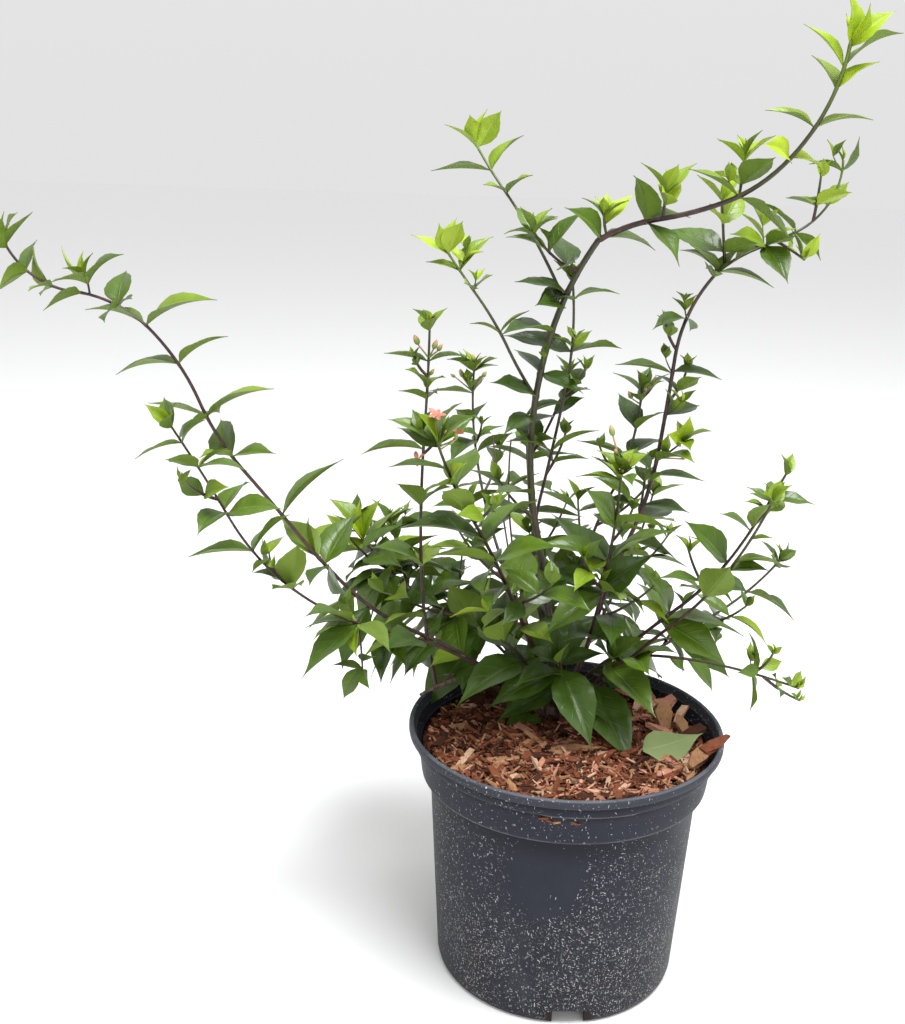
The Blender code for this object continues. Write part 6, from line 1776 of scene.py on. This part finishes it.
# %% Fallen leaves
# Place of the stalk in mm, heading and lift in degrees, roll and length in mm
FALLEN = ((46, -24, 156.2, 33, 3, 183, 44), (-36, 8, 151.0, 20, 2, 12, 26))
litter, rng = Heap(), random.Random(f"{SEED} litter")
for x, y, z, turn, lift, roll, length in FALLEN:
    leaf = Leaf(Vector((x, y, z)) * MM, 0.0, UP, turn, lift, roll, length * MM, 0.0, rng)
    leaf.bend, leaf.fold, leaf.width = 0.3, 0.12, 0.56
    add_leaf(litter, leaf, 0, under=6)
litter.build("fallen_leaves", leaf_sheets, ["bark_mulch"], "mulch")

# %% [markdown]
# ## Flowers and buds
#
# After an abelia's white trumpet falls, a little star of coral sepals stays behind for months,
# and this plant has three of them among its buds. Each head is placed from its stem's tip, where
# the photograph shows it.

# %% Where the flowers are
Head = namedtuple("Head", "stem offset drop sepals size heading lift")
# Where each head sits from its stem's tip in mm, how far below the tip its stalk starts, how many
# sepals it has (none for a bud), its size in mm and the way it faces
HEADS = (
    Head("front_cane", (0, -3, 14), 2, 5, 5.8, 300, 58),
    Head("front_cane", (10.5, -3, 6), 4, 2, 6.0, 280, 80),
    Head("front_cane", (-3, -2, 7), 2, 0, 4.6, 200, 60),
    Head("front_cane", (5, -2, 5), 3, 0, 4.2, 330, 60),
    Head("front_cane", (8, -2, 0), 6, 0, 4.4, 350, 40),
    Head("rim_riser", (-5, -3, -80), 84, 4, 6.4, 235, 42),
    Head("rim_riser", (-7.5, 0, -10), 20, 0, 6.4, 190, 66),
    Head("rim_riser", (3.5, -1, -12), 20, 0, 6.0, 340, 70),
    Head("rim_riser", (6.0, 1, -14), 20, 0, 5.0, 10, 55),
    Head("rim_riser", (2.0, -1, -28), 33, 0, 4.6, 350, 55),
    Head("bud_cane", (-9, 0, -6), 19, 0, 6.2, 150, 66),
    Head("bud_cane", (-15, 0, -8), 19, 0, 4.2, 180, 30),
    Head("bud_cane", (-1, 0, 5), 2, 0, 5.6, 100, 84),
    Head("bud_cane", (3.5, 0, 4), 2, 0, 5.0, 20, 70),
    Head("bud_cane", (7, 0, -6), 19, 0, 5.2, 10, 55),
    Head("near_right", (-7, -1, 19), 3, 0, 6.6, 130, 66),
    Head("near_right", (-4, -2, 7), 3, 0, 4.6, 220, 66),
    Head("near_right", (0, -4, -3), 8, 0, 4.8, 260, 30),
    Head("near_right", (3, -2, 2), 6, 0, 4.2, 320, 50),
    Head("back_right", (7, -2, 3), 6, 0, 6.4, 20, 74),
    Head("back_right", (-7, -3, -6), 12, 0, 5.6, 210, 60),
    Head("back_right", (2, -4, -2), 8, 0, 4.6, 280, 50),
    Head("right_cane", (-12, -6, -112), 118, 0, 4.8, 250, 30),
)
print("stars:", sum(head.sepals > 0 for head in HEADS), "| buds:", sum(head.sepals == 0 for head in HEADS))

# %% [markdown]
# A sepal is the leaf formula again with a blunt outline. A bud is a small club: a rod whose
# thickness follows half a sine wave. A star sits on a thin seed pod, which is a rod as well.

# %% Flower shapes
# Radii in mm along a stalk and along the pod below a star
STALK, POD, POD_LENGTH = (0.55, 0.4, 0.4), (0.4, 0.75, 0.65, 0.5), 4.5
BUD_SHARES, SEPAL_THICK = np.linspace(0, 1, 9), 0.2 * MM
# How far a sepal leans towards the way its star faces, its share of the size and its roll
SEPAL_LEANS, SEPAL_SIZES, SEPAL_ROLL = (0.1, 0.5), (0.85, 1.1), 15


def pointing(heading, lift):
    return heading_vector(heading) * math.cos(math.radians(lift)) + UP * math.sin(math.radians(lift))


def rod_into(heap, start, end, radii, sides, slot):
    """A straight tapering rod through the given radii at equal steps."""
    start, end = np.array(start), np.array(end)
    axis = Vector(end - start).normalized()
    side = axis.orthogonal()
    other = np.array(axis.cross(side))
    angles, rows = ring_angles(sides)[:, None], len(radii)
    ring = np.cos(angles) * np.array(side) + np.sin(angles) * other
    span = end - start
    rings = [start + span * row / (rows - 1) + ring * radii[row] for row in range(rows)]
    places = ring_places(np.linspace(0, 1, rows), sides)
    heap.add(np.concatenate(rings), grid_faces(rows, sides, closed=True), places, slot)


def bud_into(heap, foot, facing, size):
    club = [size * MM * (0.03 + 0.17 * math.sin(math.pi * share**0.75) ** 0.8) for share in BUD_SHARES]
    rod_into(heap, foot, foot + facing * size * MM, club, 10, 1)


def star_into(heap, centre, facing, head, rng):
    """A ring of blunt sepals on top of a thin seed pod."""
    pod = [radius * MM for radius in POD]
    rod_into(heap, centre - facing * POD_LENGTH * MM, centre, pod, 8, 1)
    side = facing.orthogonal()
    for index in range(head.sepals):
        around = Matrix.Rotation(2 * math.pi * (index + 0.5) / head.sepals, 3, facing) @ side
        direction = (around + facing * rng.uniform(*SEPAL_LEANS)).normalized()
        turn = math.degrees(math.atan2(direction.y, direction.x))
        lift = math.degrees(math.asin(direction.z))
        size = head.size * MM * rng.uniform(*SEPAL_SIZES)
        roll = rng.uniform(-SEPAL_ROLL, SEPAL_ROLL)
        sepal = Leaf(centre, 0.0, facing, turn, lift, roll, size, 0.0, rng)
        sepal.width, sepal.bend, sepal.fold = 0.52, 0.6, 0.3
        sepal.wave, sepal.blunt = 0.0, True
        faces, places = grid_faces(*SMALL_GRID), leaf_places(SMALL_GRID)
        heap.add(sepal.surface(SMALL_GRID, toothed=False), faces, places, 0)
        back = sepal.surface(SMALL_GRID, sunk=SEPAL_THICK, toothed=False)
        heap.add(back, faces[:, ::-1], places, 0)


print("a bud has", len(BUD_SHARES), "rings")

# %% [markdown]
# Sepals are coral and paler in blotches. Buds start green at the stalk and blush to a warm
# tip. Both colours follow the place along the shape.

# %% Flower materials
coral = Sheet("coral sepals", roughness=0.5)
_, along, _ = coral.split(coral.place("UV"))
blush = coral.mix(along, (0.37, 0.13, 0.075), (0.34, 0.070, 0.045))
coral.set(base_color=coral.mix(coral.noise(coral.place(), 500.0) * 0.4, blush, (0.56, 0.28, 0.19)))
bud_sheet = Sheet("buds", roughness=0.5)
_, along, _ = bud_sheet.split(bud_sheet.place("UV"))
tip = bud_sheet.mix(bud_sheet.noise(bud_sheet.place(), 300.0), (0.42, 0.16, 0.10), (0.50, 0.30, 0.14))
bud_sheet.set(base_color=bud_sheet.mix(along.ramp(0.45, 0.8), (0.17, 0.25, 0.045), tip))
print("flower sheets:", coral.material.name, "and", bud_sheet.material.name)

# %% [markdown]
# A stalk leads from a point below its stem's tip to each head. The flowers stand in for no
# solid of their own, so they join the shoots that carry them.

# %% Build the flowers
blossom, rng = Heap(), random.Random(f"{SEED} flowers")
for head in HEADS:
    path = paths[head.stem]
    foot = path.at(path.length - head.drop * MM)
    centre = path.at(path.length) + Vector(head.offset) * MM
    facing = pointing(head.heading, head.lift)
    base = centre - facing * (POD_LENGTH if head.sepals else head.size * 0.5) * MM
    rod_into(blossom, foot, base, [radius * MM for radius in STALK], 6, 1)
    if head.sepals:
        star_into(blossom, centre, facing, head, rng)
    else:
        bud_into(blossom, base, facing, head.size)
carriers = [
    "front_shoot", "rim_riser_shoot", "bud_shoot", "near_right_shoot", "back_right_shoot", "right_shoot",
]
blossom.build("flowers", [coral, bud_sheet], carriers, "foliage")

# %% [markdown]
# ## The root crown
#
# All the canes rise from one knotted stump. It is a short post with flared lobes under each
# seat. Its wrinkles are sums of sine waves, as the relief of the canes is.

# %% Root crown
CROWN_TALL, CROWN_RADIUS, CROWN_FOOT, CROWN_AGE = 18.5, 9.2, 143.0, 0.02
stump = Heap()
rows, sides = 16, 36
share = np.linspace(0, 1, rows)[:, None]
angles = ring_angles(sides)[None, :]
lobes = 1 + 0.10 * np.sin(5 * angles + 2 * share)
lobes = lobes + 0.05 * np.sin(11 * angles + 5 * share) * np.sin(17 * share)
profile = (1.0 - 0.28 * share) * np.sqrt(np.clip(1 - share**5, 0.02, 1))
radius = CROWN_RADIUS * profile * lobes
height = CROWN_FOOT + share * CROWN_TALL + 0.5 * np.sin(7 * angles + 3) * share
points = np.stack([radius * np.cos(angles), radius * np.sin(angles), height], -1).reshape(-1, 3)
points = points * MM + np.array(CROWN)
places = ring_places([CROWN_AGE] * rows, sides)
stump.add(points, grid_faces(rows, sides, closed=True), places, 0)
stump.build("root_crown_wood", [bark], ["root_crown"], "crown_wood")

# %% [markdown]
# ## The boxes before and after
#
# The visual pieces are meant to stay within the room that the solids gave them. The two boxes,
# before and after, are printed so that they can be compared.

# %% Finish
made_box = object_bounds()
sizes = [[list(corner) for corner in box] for box in (cad_box, made_box)]
for when, box in zip(("before", "after"), sizes):
    print("box", when, "in mm:", [[round(value / MM) for value in corner] for corner in box])
